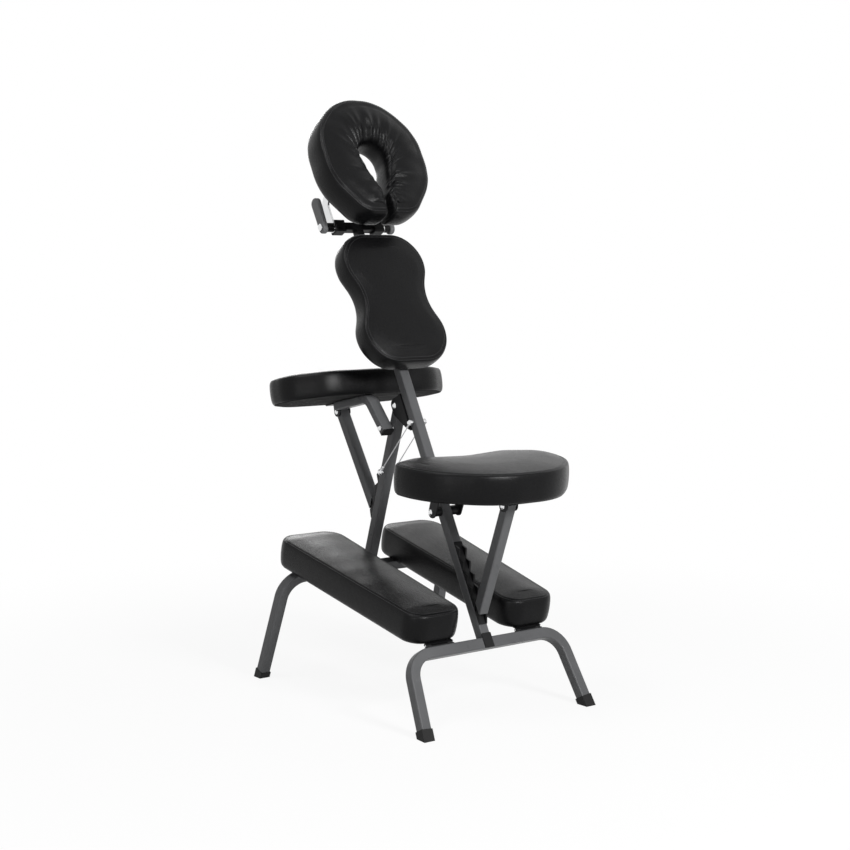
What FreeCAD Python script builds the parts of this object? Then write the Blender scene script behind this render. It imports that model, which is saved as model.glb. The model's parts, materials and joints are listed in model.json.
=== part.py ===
import FreeCAD, Part
import math
import os
import re

import Sketcher
from FreeCAD import Placement, Rotation, Vector

# Folding massage chair. X is the sitter's right, Y the way the sitter faces,
# Z is up, and the origin is on the floor in the plane of symmetry.

SIZES = {
    # square frame tube
    "tube_side": 25.0, "tube_wall": 1.5, "tube_corner": 3.5, "bend_radius": 56.0,
    # rear frame: bowed leg, main post and their lean
    "rear_lean": 28.86, "rear_foot_y": 318.0, "rear_bar_rise": 156.9, "rear_bar_half": 208.4,
    "rear_foot_half": 225.7, "foot_side": 27.0, "foot_rise": 18.0,
    "cap_thick": 2.0, "cap_over": 9.0,
    # front frame, hung from the hinge bolt of the rear frame
    "front_lean": 18.74, "front_bar_rise": 256.4, "front_bar_half": 235.7, "front_foot_half": 254.7,
    "front_top_over": 12.0,
    # frame hinge
    "hinge_along": 783.6, "hinge_reach": 42.6, "hinge_plate": 3.0, "hinge_fit": 0.5,
    "hinge_below": 77.6, "hinge_above": 16.4, "hinge_nose": 14.4,
    # bolts
    "bolt_size": 8.0, "bolt_fit": 0.05, "bolt_head": 14.0, "bolt_head_rise": 4.5,
    # opening stop cables
    "cable_along": 720.5, "cable_low": 530.0, "cable_size": 2.4, "eye_thick": 3.0, "eye_size": 14.0,
    "cable_x": 19.5, "ferrule_size": 6.0, "ferrule_length": 14.0, "spacer_size": 13.0,
    # seat
    "seat_y": 195.9, "seat_rise": 503.2, "seat_tilt": 3.4, "seat_half": 212.0, "seat_front": 75.0,
    "seat_rear": 192.5, "seat_notch": 26.7, "seat_thick": 56.7, "board_thick": 10.0, "board_inset": 7.0,
    "pad_crown": 8.0, "pad_under": 5.0, "board_gap": 0.3,
    "seat_pivot_along": 498.0, "bracket_half": 38.0, "bracket_plate": 3.0, "bracket_nose": 13.0,
    "bracket_back": 40.0, "bracket_lean": 22.0, "sleeve_size": 22.0, "turn_gap": 0.3,
    # struts of the seat and the armrest, and their racks
    "seat_strut_y": 117.0, "seat_strut_drop": 18.0, "lug_nose": 13.0, "lug_fit": 0.4, "lug_plate": 3.0,
    "strut_plate_half": 38.0, "strut_plate_depth": 36.0, "strut_top_over": 7.0,
    "seat_foot_along": 248.0, "foot_stand": 18.0, "foot_clear": 2.0, "tongue_long": 34.0,
    "tongue_thick": 8.0, "tongue_half": 10.0, "plug_long": 44.0, "rack_pitch": 31.5, "rack_tooth": 10.0,
    "rack_web": 2.0, "rack_gap": 0.4, "rack_half": 11.0, "rack_flange": 4.0, "rack_tip": 2.0,
    "rack_end": 8.0,
    # armrest
    "arm_ahead": 155.5835, "arm_over": 56.0999, "arm_tilt": 11.9, "arm_half": 233.0, "arm_front": 113.1,
    "arm_rear": 108.8, "arm_thick": 50.2, "arm_pivot_drop": 55.9843, "arm_tube_wide": 30.0,
    "arm_tube_deep": 20.0, "arm_angle": 31.75, "arm_below": 11.5, "arm_reach": 50.0, "arm_bend": 35.0,
    "arm_gap": 4.2, "arm_plug": 4.0, "arm_strut_y": 85.5, "arm_strut_drop": 19.7,
    "arm_foot_along": 427.3, "washer_size": 18.0,
    # knee pads and their hinges on the rear crossbar
    "knee_inner": 60.0, "knee_outer_rear": 203.0, "knee_outer_front": 234.5, "knee_long": 543.0,
    "knee_back": 5.0, "knee_thick": 65.0, "leaf_thick": 1.5, "barrel_size": 6.0, "pin_size": 3.0,
    "pin_fit": 0.05, "leaf_x": 125.0, "leaf_half": 36.0, "leaf_depth": 28.0, "knuckle_wide": 14.0,
    "knee_rest_gap": 0.3, "pin_back": 4.0, "leaf_gap": 0.3,
    # chest pad
    "chest_gap": 5.4, "chest_half": 128.0, "chest_waist": 84.0, "chest_long": 171.0,
    "chest_thick": 49.5, "strip_thick": 3.0, "strip_half": 20.0, "strip_long": 110.0,
    # head stem, crossbar and face cradle
    "stem_side": 20.0, "stem_wall": 1.5, "stem_corner": 2.0, "stem_in": 140.0, "stem_fit": 0.05,
    "collar_long": 30.0, "collar_rim": 3.0, "bush_long": 25.0,
    "head_drop": 112.0, "neck_long": 59.0, "crossbar_half": 42.0, "spindle_size": 12.0, "spindle_deep": 16.0,
    "spindle_fit": 0.05, "block_wide": 26.5, "block_deep": 29.0, "block_tall": 31.0,
    "side_gap": 0.5, "cradle_arm_thick": 4.0, "cradle_arm_wide": 24.0, "cradle_arm_up": 72.0,
    "cradle_foot": 26.0, "cradle_back": 73.6, "cradle_thick": 6.0, "cradle_inset": 14.0,
    "cup_size": 22.0, "cup_wide": 16.0, "lever_thick": 13.0, "lever_wide": 30.0, "lever_long": 93.0,
    "lever_round": 3.0, "nut_size": 17.0, "nut_wide": 5.0,
    "face_along": 1351.0, "face_half": 147.9, "face_long": 158.6, "face_thick": 80.6,
    "face_hole_half": 34.0, "face_hole_top": 40.0, "face_hole_mid": -10.0, "face_hole_low": 100.0,
    "face_gap_half": 6.0,
}

# Places that follow from the sizes.
RL = "(rear_lean*1deg)"
FL = "(front_lean*1deg)"
ST = "(seat_tilt*1deg)"
AT = "(arm_tilt*1deg)"
DERIVED = {
    "tube_half": "(tube_side/2)",
    "rear_bar_along": f"(rear_bar_rise/cos{RL})",
    "head_along": "(face_along-head_drop)",
    "post_top": "(head_along-neck_long)",
    "stem_bottom": "(post_top-stem_in)",
    "chest_along": "(face_along-face_long-chest_gap-chest_long)",
    "hinge_y": f"(-rear_foot_y+hinge_along*sin{RL}+hinge_reach*cos{RL})",
    "hinge_z": f"(hinge_along*cos{RL}-hinge_reach*sin{RL})",
    "front_foot_y": f"(hinge_y+hinge_z*tan{FL})",
    "front_hinge_along": f"(hinge_z/cos{FL})",
    "front_bar_along": f"(front_bar_rise/cos{FL})",
    "rear_splay": "(atan((rear_foot_half-rear_bar_half)/rear_bar_along))",
    "front_splay": "(atan((front_foot_half-front_bar_half)/front_bar_along))",
    "seat_pivot_y": f"(-rear_foot_y+seat_pivot_along*sin{RL})",
    "seat_pivot_z": f"(seat_pivot_along*cos{RL})",
    "pivot_in_seat_y": f"((seat_pivot_y+seat_y)*cos{ST}+(seat_pivot_z-seat_rise)*sin{ST})",
    "pivot_in_seat_z": f"((seat_pivot_z-seat_rise)*cos{ST}-(seat_pivot_y+seat_y)*sin{ST})",
    "seat_strut_wy": f"(-seat_y-seat_strut_y*cos{ST}+seat_strut_drop*sin{ST})",
    "seat_strut_wz": f"(seat_rise-seat_strut_y*sin{ST}-seat_strut_drop*cos{ST})",
    "seat_foot_wy": f"(-rear_foot_y+seat_foot_along*sin{RL}-foot_stand*cos{RL})",
    "seat_foot_wz": f"(seat_foot_along*cos{RL}+foot_stand*sin{RL})",
    "seat_strut_angle": "(atan((seat_foot_wy-seat_strut_wy)/(seat_strut_wz-seat_foot_wz)))",
    "seat_strut_long": "(sqrt((seat_foot_wy-seat_strut_wy)^2+(seat_strut_wz-seat_foot_wz)^2))",
    "seat_tooth": "(tan(90deg-seat_strut_angle-rear_lean*1deg))",
    "arm_pivot_along": "(front_hinge_along-arm_pivot_drop)",
    "arm_pivot_y": f"(front_foot_y-arm_pivot_along*sin{FL})",
    "arm_pivot_z": f"(arm_pivot_along*cos{FL})",
    "arm_y": "(arm_pivot_y+arm_ahead)",
    "arm_rise": "(arm_pivot_z+arm_over)",
    "pivot_in_arm_y": f"((arm_pivot_y-arm_y)*cos{AT}-(arm_pivot_z-arm_rise)*sin{AT})",
    "pivot_in_arm_z": f"((arm_pivot_z-arm_rise)*cos{AT}+(arm_pivot_y-arm_y)*sin{AT})",
    "arm_tube_x": "(tube_half+arm_gap+arm_tube_wide/2)",
    "arm_low_y": "(pivot_in_arm_y-arm_below*sin(arm_angle*1deg))",
    "arm_low_z": "(pivot_in_arm_z-arm_below*cos(arm_angle*1deg))",
    "arm_bend_y": "(pivot_in_arm_y-(arm_tube_deep/2+pivot_in_arm_z)*tan(arm_angle*1deg))",
    "arm_plug_y": f"(arm_y+arm_low_y*cos{AT}+arm_low_z*sin{AT})",
    "arm_plug_z": f"(arm_rise-arm_low_y*sin{AT}+arm_low_z*cos{AT})",
    "arm_strut_wy": f"(arm_y+arm_strut_y*cos{AT}-arm_strut_drop*sin{AT})",
    "arm_strut_wz": f"(arm_rise-arm_strut_y*sin{AT}-arm_strut_drop*cos{AT})",
    "arm_foot_wy": f"(front_foot_y-arm_foot_along*sin{FL}+foot_stand*cos{FL})",
    "arm_foot_wz": f"(arm_foot_along*cos{FL}+foot_stand*sin{FL})",
    "arm_strut_angle": "(atan((arm_strut_wy-arm_foot_wy)/(arm_strut_wz-arm_foot_wz)))",
    "arm_strut_long": "(sqrt((arm_strut_wy-arm_foot_wy)^2+(arm_strut_wz-arm_foot_wz)^2))",
    "arm_tooth": "(tan(90deg-arm_strut_angle-front_lean*1deg))",
    "pin_rise": "(leaf_thick+leaf_gap+barrel_size/2)",
    "pin_along": "(rear_bar_along+tube_half+pin_rise)",
    "pin_y": f"(-rear_foot_y+pin_along*sin{RL}-pin_back*cos{RL})",
    "pin_z": f"(pin_along*cos{RL}+pin_back*sin{RL})",
    "knee_base": "(barrel_size/2+leaf_gap+leaf_thick)",
    "rest_y": f"(front_foot_y-(front_bar_along+tube_half-tube_corner)*sin{FL}"
              f"+(tube_half-tube_corner)*cos{FL})",
    "rest_z": f"((front_bar_along+tube_half-tube_corner)*cos{FL}+(tube_half-tube_corner)*sin{FL})",
    "rest_far": "(sqrt((rest_y-pin_y)^2+(rest_z-pin_z)^2))",
    "knee_angle": "(atan((rest_z-pin_z)/(rest_y-pin_y))"
                  "-asin((knee_base-tube_corner-knee_rest_gap)/rest_far))",
    "chest_base": "(tube_half+strip_thick)",
    "strut_inner": "(tube_half+lug_fit)",
    "cable_y": f"(-rear_foot_y+cable_along*sin{RL})",
    "cable_z": f"(cable_along*cos{RL})",
    "cable_low_y": f"(front_foot_y-cable_low*sin{FL})",
    "cable_low_z": f"(cable_low*cos{FL})",
    "cable_long": "(sqrt((cable_low_y-cable_y)^2+(cable_z-cable_low_z)^2))",
    "cable_angle": "(atan((cable_low_y-cable_y)/(cable_z-cable_low_z)))",
    "cable_grip": "(cable_x+eye_thick/2)",
    "block_end": "(crossbar_half+block_wide)",
    "arm_plate_start": "(block_end+side_gap)",
    "cup_start": "(arm_plate_start+cradle_arm_thick+side_gap)",
    "lever_start": "(cup_start+cup_wide+side_gap)",
    "nut_start": "(lever_start+lever_thick+side_gap)",
    "face_back": "(cradle_back+cradle_thick)",
}

doc = FreeCAD.newDocument("folding_massage_chair")
sheet = doc.addObject("Spreadsheet::Sheet", "sizes")
for row, (alias, value) in enumerate(SIZES.items(), 1):
    sheet.set(f"A{row}", alias)
    sheet.set(f"B{row}", str(value))
    sheet.setAlias(f"B{row}", alias)
doc.recompute()

WORD = re.compile(r"[a-z]+(?:_[a-z]+)+")


def full(text):
    """An expression of the sheet's cells, with derived places written out."""
    def swap(match):
        word = match.group(0)
        if word in DERIVED:
            return full(DERIVED[word])
        return "sizes." + word
    return WORD.sub(swap, str(text))


def number(text):
    found = sheet.evalExpression(full(text))
    return float(getattr(found, "Value", found))


# Frames: origin (y, z) and turn about X that pieces of each group share.
FRAMES = {
    "world": ("0", "0", "0"),
    "rear": ("-rear_foot_y", "0", "-rear_lean"),
    "front": ("front_foot_y", "0", "front_lean"),
    "seat": ("-seat_y", "seat_rise", "seat_tilt"),
    "arm": ("arm_y", "arm_rise", "-arm_tilt"),
    "knee": ("pin_y", "pin_z", "knee_angle"),
    "seat_strut": ("seat_strut_wy", "seat_strut_wz", "seat_strut_angle"),
    "arm_strut": ("arm_strut_wy", "arm_strut_wz", "-arm_strut_angle"),
    "cable": ("cable_y", "cable_z", "cable_angle"),
    "arm_plug": ("arm_plug_y", "arm_plug_z", "-(arm_angle+arm_tilt)"),
}


def place(obj, frame):
    y, z, turn = FRAMES[frame]
    degrees = number(turn)
    axis = Vector(1 if degrees >= 0 else -1, 0, 0)
    obj.Placement = Placement(Vector(0, number(y), number(z)), Rotation(axis, abs(degrees)))
    if degrees:
        sign = "" if degrees > 0 else "-1*"
        obj.setExpression("Placement.Rotation.Angle", sign + full(f"({turn})"))
    obj.setExpression("Placement.Base.y", full(y))
    obj.setExpression("Placement.Base.z", full(z))


pieces = []


def body(label, frame, part=True):
    made = doc.addObject("PartDesign::Body", label)
    made.Label = label
    made.AllowCompound = True
    place(made, frame)
    if part:
        pieces.append(made)
    return made


def plane(owner, role):
    return next(f for f in owner.Origin.OriginFeatures if f.Role == role)


def fix_point(sketch, geo, pos, x, y):
    """Bind a point of a sketch to two expressions."""
    for kind, text, axis in (("DistanceX", x, -2), ("DistanceY", y, -1)):
        value = number(text)
        if abs(value) < 1e-9 and str(text) == "0":
            sketch.addConstraint(Sketcher.Constraint("PointOnObject", geo, pos, axis))
            continue
        ends = (-1, 1, geo, pos) if value >= 0 else (geo, pos, -1, 1)
        index = sketch.addConstraint(Sketcher.Constraint(kind, *ends, abs(value)))
        sign = "" if value >= 0 else "-1*"
        sketch.setExpression(f"Constraints[{index}]", sign + full(f"({text})"))


def turn_points(prev, here, after, radius):
    """Tangent points, centre and sense of a fillet at a corner."""
    u = (here - prev).normalize()
    v = (after - here).normalize()
    cross = u.x * v.y - u.y * v.x
    angle = math.acos(max(-1.0, min(1.0, u.dot(v))))
    reach = radius * math.tan(angle / 2)
    start = here - u * reach
    side = Vector(-u.y, u.x, 0) * (1 if cross > 0 else -1)
    return start, here + v * reach, start + side * radius, cross > 0


def add_loop(sketch, points, closed=True):
    """A chain of lines whose corners may be rounded: (x, y) or (x, y, radius)."""
    spots = [Vector(number(p[0]), number(p[1]), 0) for p in points]
    count = len(points)
    sides = count if closed else count - 1
    rounded = [len(p) > 2 for p in points]
    guides = []
    if any(rounded):
        for i in range(sides):
            guides.append(sketch.addGeometry(Part.LineSegment(spots[i], spots[(i + 1) % count]), True))
        for i in range(sides if closed else sides - 1):
            sketch.addConstraint(Sketcher.Constraint("Coincident", guides[i], 2, guides[(i + 1) % sides], 1))
        for i in range(sides):
            fix_point(sketch, guides[i], 1, points[i][0], points[i][1])
        if not closed:
            fix_point(sketch, guides[-1], 2, points[-1][0], points[-1][1])
    starts, ends, arcs = list(spots), list(spots), {}
    for i in range(count):
        if rounded[i]:
            radius = number(points[i][2])
            a, b, centre, left = turn_points(spots[i - 1], spots[i], spots[(i + 1) % count], radius)
            starts[i], ends[i] = a, b
            first, last = (a, b) if left else (b, a)
            one = math.atan2(first.y - centre.y, first.x - centre.x)
            two = math.atan2(last.y - centre.y, last.x - centre.x)
            circle = Part.Circle(centre, Vector(0, 0, 1), radius)
            arcs[i] = (Part.ArcOfCircle(circle, one, two), left)
    lines = []
    for i in range(sides):
        lines.append(sketch.addGeometry(Part.LineSegment(ends[i], starts[(i + 1) % count]), False))
    for i in range(count):
        before, after = lines[i - 1], lines[i] if i < sides else None
        if not closed and i in (0, count - 1):
            line, pos = (lines[0], 1) if i == 0 else (lines[-1], 2)
            if guides:
                guide = guides[0] if i == 0 else guides[-1]
                sketch.addConstraint(Sketcher.Constraint("Coincident", line, pos, guide, pos))
            else:
                fix_point(sketch, line, pos, points[i][0], points[i][1])
            continue
        if rounded[i]:
            arc, left = arcs[i]
            geo = sketch.addGeometry(arc, False)
            first, last = (1, 2) if left else (2, 1)
            sketch.addConstraint(Sketcher.Constraint("Tangent", before, 2, geo, first))
            sketch.addConstraint(Sketcher.Constraint("Tangent", after, 1, geo, last))
            index = sketch.addConstraint(Sketcher.Constraint("Radius", geo, number(points[i][2])))
            sketch.setExpression(f"Constraints[{index}]", full(f"({points[i][2]})"))
            sketch.addConstraint(Sketcher.Constraint("PointOnObject", before, 2, guides[i - 1]))
            sketch.addConstraint(Sketcher.Constraint("PointOnObject", after, 1, guides[i]))
        else:
            sketch.addConstraint(Sketcher.Constraint("Coincident", before, 2, after, 1))
            if guides:
                sketch.addConstraint(Sketcher.Constraint("Coincident", after, 1, guides[i], 1))
            else:
                fix_point(sketch, after, 1, points[i][0], points[i][1])


def add_circle(sketch, x, y, size):
    circle = Part.Circle(Vector(number(x), number(y), 0), Vector(0, 0, 1), number(size) / 2)
    geo = sketch.addGeometry(circle, False)
    fix_point(sketch, geo, 3, x, y)
    index = sketch.addConstraint(Sketcher.Constraint("Diameter", geo, number(size)))
    sketch.setExpression(f"Constraints[{index}]", full(f"({size})"))


def draw(owner, role, loops=(), circles=(), lift="0", closed=True):
    """A sketch on one of a body's own planes, lifted along the plane's normal."""
    made = owner.newObject("Sketcher::SketchObject", owner.Label + "_outline")
    made.AttachmentSupport = [(plane(owner, role), "")]
    made.MapMode = "FlatFace"
    if lift != "0":
        made.AttachmentOffset = Placement(Vector(0, 0, number(lift)), Rotation())
        made.setExpression("AttachmentOffset.Base.z", full(f"({lift})"))
    for loop in loops:
        add_loop(made, loop, closed)
    for x, y, size in circles:
        add_circle(made, x, y, size)
    return made


def pad(owner, sketch, length, both=False, back=False):
    made = owner.newObject("PartDesign::Pad", owner.Label + "_pad")
    made.Profile = sketch
    made.Length = number(length)
    made.setExpression("Length", full(f"({length})"))
    made.SideType = "Symmetric" if both else "One side"
    made.Reversed = back
    return made


def cut(owner, sketch, length, both=True, back=False):
    made = owner.newObject("PartDesign::Pocket", owner.Label + "_cut")
    made.Profile = sketch
    made.Length = number(length)
    made.setExpression("Length", full(f"({length})"))
    made.SideType = "Symmetric" if both else "One side"
    made.Reversed = back
    return made


def rect(x0, x1, y0, y1, radius=None):
    corners = [(x0, y0), (x1, y0), (x1, y1), (x0, y1)]
    return [c + (radius,) for c in corners] if radius else corners


def tube_loops(side, wall, corner):
    """Outer and inner outline of a square tube."""
    inner = f"({side}/2-{wall})"
    return [rect(f"-{side}/2", f"{side}/2", f"-{side}/2", f"{side}/2", corner),
            rect(f"-{inner}", inner, f"-{inner}", inner, f"({corner}-{wall})")]


def mirrored(owner, features):
    made = owner.newObject("PartDesign::Mirrored", owner.Label + "_mirror")
    made.Originals = features
    made.MirrorPlane = (plane(owner, "YZ_Plane"), [""])
    owner.Tip = made
    return made


def loft(owner, sections):
    made = owner.newObject("PartDesign::AdditiveLoft", owner.Label + "_loft")
    made.Profile = sections[0]
    made.Sections = sections[1:]
    made.Ruled = False
    return made


def spin(label, y, z, loops):
    """Turned pieces about an X axis at (y, z): each loop holds points (x, radius)."""
    FRAMES[label] = (y, z, "0")
    made = body(label, label)
    turned = made.newObject("PartDesign::Revolution", label + "_turned")
    turned.Profile = draw(made, "XY_Plane", loops)
    turned.ReferenceAxis = (plane(made, "X_Axis"), [""])
    turned.Angle = 360
    return made


def bolt(label, y, z, left, right):
    """A round-head bolt with a cap nut, gripping from x = -left to x = right."""
    head, shank, rise = "bolt_head/2", "bolt_size/2", "bolt_head_rise"
    return spin(label, y, z, [[
        (f"-{left}-{rise}", "0"), (f"-{left}-{rise}", f"{head}*0.55"), (f"-{left}-{rise}*0.45", head),
        (f"-{left}", head), (f"-{left}", shank), (right, shank), (right, head),
        (f"{right}+{rise}*0.45", head), (f"{right}+{rise}", f"{head}*0.55"), (f"{right}+{rise}", "0")]])


def rear_place(front, along):
    return (f"(-rear_foot_y+({along})*sin{RL}+({front})*cos{RL})", f"(({along})*cos{RL}-({front})*sin{RL})")


# Bowed legs, their feet and the two posts.
def bowed_leg(side):
    made = body(f"{side}_leg_frame", side)
    along, half, foot = f"{side}_bar_along", f"{side}_bar_half", f"{side}_foot_half"
    low = f"(foot_rise/cos({side}_lean*1deg))"
    low_x = f"({foot}-({foot}-{half})*{low}/{along})"
    spine = draw(made, "XZ_Plane", [[("0", along), (half, along, "bend_radius"), (low_x, low)]], closed=False)
    loops = [[(p[0], f"{along}+{p[1]}", p[2]) for p in loop]
             for loop in tube_loops("tube_side", "tube_wall", "tube_corner")]
    pipe = made.newObject("PartDesign::AdditivePipe", made.Label + "_bend")
    pipe.Profile = draw(made, "YZ_Plane", loops)
    pipe.Spine = spine
    mirrored(made, [pipe])
    feet = body(f"{side}_feet", side)
    s, c = f"sin({side}_splay)", f"cos({side}_splay)"
    wide, long = "foot_side/2", "foot_rise*3"
    right = [(f"{low_x}-{wide}*{c}", f"{low}-{wide}*{s}"), (f"{low_x}+{wide}*{c}", f"{low}+{wide}*{s}"),
             (f"{low_x}+{wide}*{c}+{long}*{s}", f"{low}+{wide}*{s}-{long}*{c}"),
             (f"{low_x}-{wide}*{c}+{long}*{s}", f"{low}-{wide}*{s}-{long}*{c}")]
    left = [(f"-1*({x})", z) for x, z in right]
    pad(feet, draw(feet, "XZ_Plane", [right, left]), "foot_side", both=True)
    slope = "tan(rear_lean*1deg)" if side == "rear" else "(-1*tan(front_lean*1deg))"
    under = [("-3*foot_side", f"-3*foot_side*{slope}"), ("3*foot_side", f"3*foot_side*{slope}"),
             ("3*foot_side", "-9*foot_side"), ("-3*foot_side", "-9*foot_side")]
    cut(feet, draw(feet, "YZ_Plane", [under]), f"4*{foot}")


bowed_leg("rear")
bowed_leg("front")

post = body("main_post", "rear")
post_start = "(rear_bar_along+tube_half)"
pad(post, draw(post, "XY_Plane", tube_loops("tube_side", "tube_wall", "tube_corner"), lift=post_start),
    f"post_top-{post_start}")
hole = "bolt_size+2*bolt_fit"
cut(post, draw(post, "YZ_Plane", circles=[("0", "cable_along", hole), ("0", "seat_pivot_along", hole)]),
    "4*tube_side")

prop = body("front_post", "front")
prop_start = "(front_bar_along+tube_half)"
pad(prop, draw(prop, "XY_Plane", tube_loops("tube_side", "tube_wall", "tube_corner"), lift=prop_start),
    f"front_hinge_along+front_top_over-{prop_start}")
cut(prop, draw(prop, "YZ_Plane", circles=[("0", "front_hinge_along", hole), ("0", "cable_low", hole),
                                          ("0", "arm_pivot_along", hole)]), "4*tube_side")

cap = body("post_cap", "rear")
cap_loop = rect("-tube_half", "tube_half", "rear_bar_along-tube_half",
                "rear_bar_along+tube_half+cap_over", "2")
pad(cap, draw(cap, "XZ_Plane", [cap_loop], lift="tube_half"), "cap_thick")

# Hinge bracket on the main post and the hinge bolt.
fork = body("hinge_bracket", "rear")
outer = "(tube_half+hinge_fit+hinge_plate)"
cheek = [("tube_half", "hinge_along-hinge_below"), ("hinge_reach*0.6", "hinge_along-hinge_below+12", "8"),
         ("hinge_reach+hinge_nose", "hinge_along-hinge_nose*1.2", "hinge_nose*0.9"),
         ("hinge_reach+hinge_nose", "hinge_along+hinge_above", "hinge_nose*0.9"),
         ("tube_half", "hinge_along+hinge_above")]
pad(fork, draw(fork, "YZ_Plane", [cheek]), f"2*{outer}", both=True)
inside = rect("tube_half+hinge_plate", "hinge_reach+2*hinge_nose", "hinge_along-2*hinge_below",
              "hinge_along+2*hinge_below")
cut(fork, draw(fork, "YZ_Plane", [inside]), f"2*({outer}-hinge_plate)")
cut(fork, draw(fork, "YZ_Plane", circles=[("hinge_reach", "hinge_along", hole)]), f"4*{outer}")
bolt("hinge_bolt", "hinge_y", "hinge_z", outer, outer)

# Racks for the two strut feet: a web with two toothed flanges.
def rack(label, frame, sign, foot, tooth, teeth):
    made = body(label, frame)
    face, web = f"{sign}*tube_half", f"{sign}*(tube_half+rack_web)"
    tip = f"{sign}*(tube_half+rack_web+rack_tooth)"
    # the upper flank of each tooth lies square to the strut
    near = f"({foot}+(foot_stand-tube_half-rack_web)/{tooth}-rack_gap)"
    drop = f"(rack_tooth/{tooth})"
    loop = [(face, f"{near}-rack_pitch"), (web, f"{near}-rack_pitch")]
    for step in range(teeth):
        if step:
            loop.append((web, f"{near}+{step - 1}*rack_pitch+rack_tip"))
        loop.append((tip, f"{near}+{step}*rack_pitch-{drop}-rack_tip"))
        loop.append((tip, f"{near}+{step}*rack_pitch-{drop}"))
        loop.append((web, f"{near}+{step}*rack_pitch"))
    loop.append((web, f"{near}+{teeth - 1}*rack_pitch+rack_end"))
    loop.append((face, f"{near}+{teeth - 1}*rack_pitch+rack_end"))
    pad(made, draw(made, "YZ_Plane", [loop]), "2*rack_half", both=True)
    slot = rect(web, f"{sign}*(tube_half+3*rack_tooth)", f"{near}-2*rack_pitch",
                f"{near}+{teeth}*rack_pitch")
    cut(made, draw(made, "YZ_Plane", [slot]), "2*(rack_half-rack_flange)")


rack("seat_rack", "rear", "-1", "seat_foot_along", "seat_tooth", 6)
rack("armrest_rack", "front", "1", "arm_foot_along", "arm_tooth", 4)


# Opening stop cables: a wire with a pressed sleeve and an eye at each end.
def rings(label, y, z, start, end, outer_size, inner_size):
    """A pair of turned rings, mirrored about the plane of symmetry."""
    right = rect(start, end, f"({inner_size})/2", f"{outer_size}/2")
    left = [(f"-1*({x})", r) for x, r in right]
    return spin(label, y, z, [right, left])


def cable(label, sign):
    made = body(label, "cable")
    wire_x = f"({sign}*cable_x)"
    pad(made, draw(made, "XY_Plane", circles=[(wire_x, "0", "cable_size")]), "cable_long", back=True)
    for lift in ("-1*(eye_size/2+turn_gap)", "-1*(cable_long-ferrule_length-eye_size/2-turn_gap)"):
        sleeve = draw(made, "XY_Plane", circles=[(wire_x, "0", "ferrule_size")], lift=lift)
        pad(made, sleeve, "ferrule_length", back=True)
    eyes = [("0", "0", "eye_size"), ("0", "-cable_long", "eye_size")]
    pad(made, draw(made, "YZ_Plane", circles=eyes, lift=wire_x), "eye_thick", both=True)
    holes = [("0", "0", hole), ("0", "-cable_long", hole)]
    cut(made, draw(made, "YZ_Plane", circles=holes, lift=wire_x), "4*eye_thick")


cable("cable_left", "-1")
cable("cable_right", "1")
for name, y, z in (("upper", "cable_y", "cable_z"), ("lower", "cable_low_y", "cable_low_z")):
    bolt(f"cable_bolt_{name}", y, z, "cable_grip", "cable_grip")
    rings(f"cable_spacers_{name}", y, z, "tube_half", "(cable_x-eye_thick/2)", "spacer_size", hole)


# Upholstered pieces: a board and a pad lofted through outlines that bulge from the
# board, draw in over the edge and rise to a crown.
def seat_outline(inset):
    half, front, rear = (f"({name}-{inset})" for name in ("seat_half", "seat_front", "seat_rear"))
    right = [(f"{half}*0.414", f"-{rear}", f"(170-{inset})"), (half, f"-{rear}*0.414", f"(170-{inset})"),
             (half, f"{front}*0.42", f"(46-0.6*{inset})"), (f"{half}*0.6", front, f"(75-0.6*{inset})")]
    left = [(f"-{x}", y, r) for x, y, r in reversed(right)]
    return right + [("0", f"({front}-seat_notch)", "120")] + left


def arm_outline(inset):
    half, front, rear = (f"({name}-{inset})" for name in ("arm_half", "arm_front", "arm_rear"))
    right = [(f"{half}*0.645", f"-{rear}", f"(110-{inset})"), (half, f"-{rear}*0.4", f"(72-{inset})"),
             (half, f"{front}*0.4", f"(72-{inset})"), (f"{half}*0.645", front, f"(110-{inset})")]
    return right + [(f"-{x}", y, r) for x, y, r in reversed(right)]


def chest_outline(inset):
    half, waist, long = (f"({name}-{inset})" for name in ("chest_half", "chest_waist", "chest_long"))
    low, high = f"(chest_along-{long})", f"(chest_along+{long})"
    shoulder = f"({long}*0.4)"
    right = [(f"{half}*0.6", low, f"(74-{inset})"), (half, f"({low}+{shoulder})", f"(80-{inset})"),
             (waist, "chest_along", "110"),
             (half, f"({high}-{shoulder})", f"(80-{inset})"), (f"{half}*0.6", high, f"(74-{inset})")]
    return right + [(f"-{x}", y, r) for x, y, r in reversed(right)]


def knee_outline(sign):
    def outline(inset):
        inner, rear = f"({sign}*(knee_inner+{inset}))", f"({sign}*(knee_outer_rear-{inset}))"
        front = f"({sign}*(knee_outer_front-{inset}))"
        back, far = f"({inset}-knee_back)", f"(knee_long-{inset})"
        radius = f"(46-0.8*{inset})"
        loop = [(inner, back, radius), (rear, back, radius), (front, far, radius), (inner, far, radius)]
        return loop if sign == "1" else list(reversed(loop))
    return outline


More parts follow.
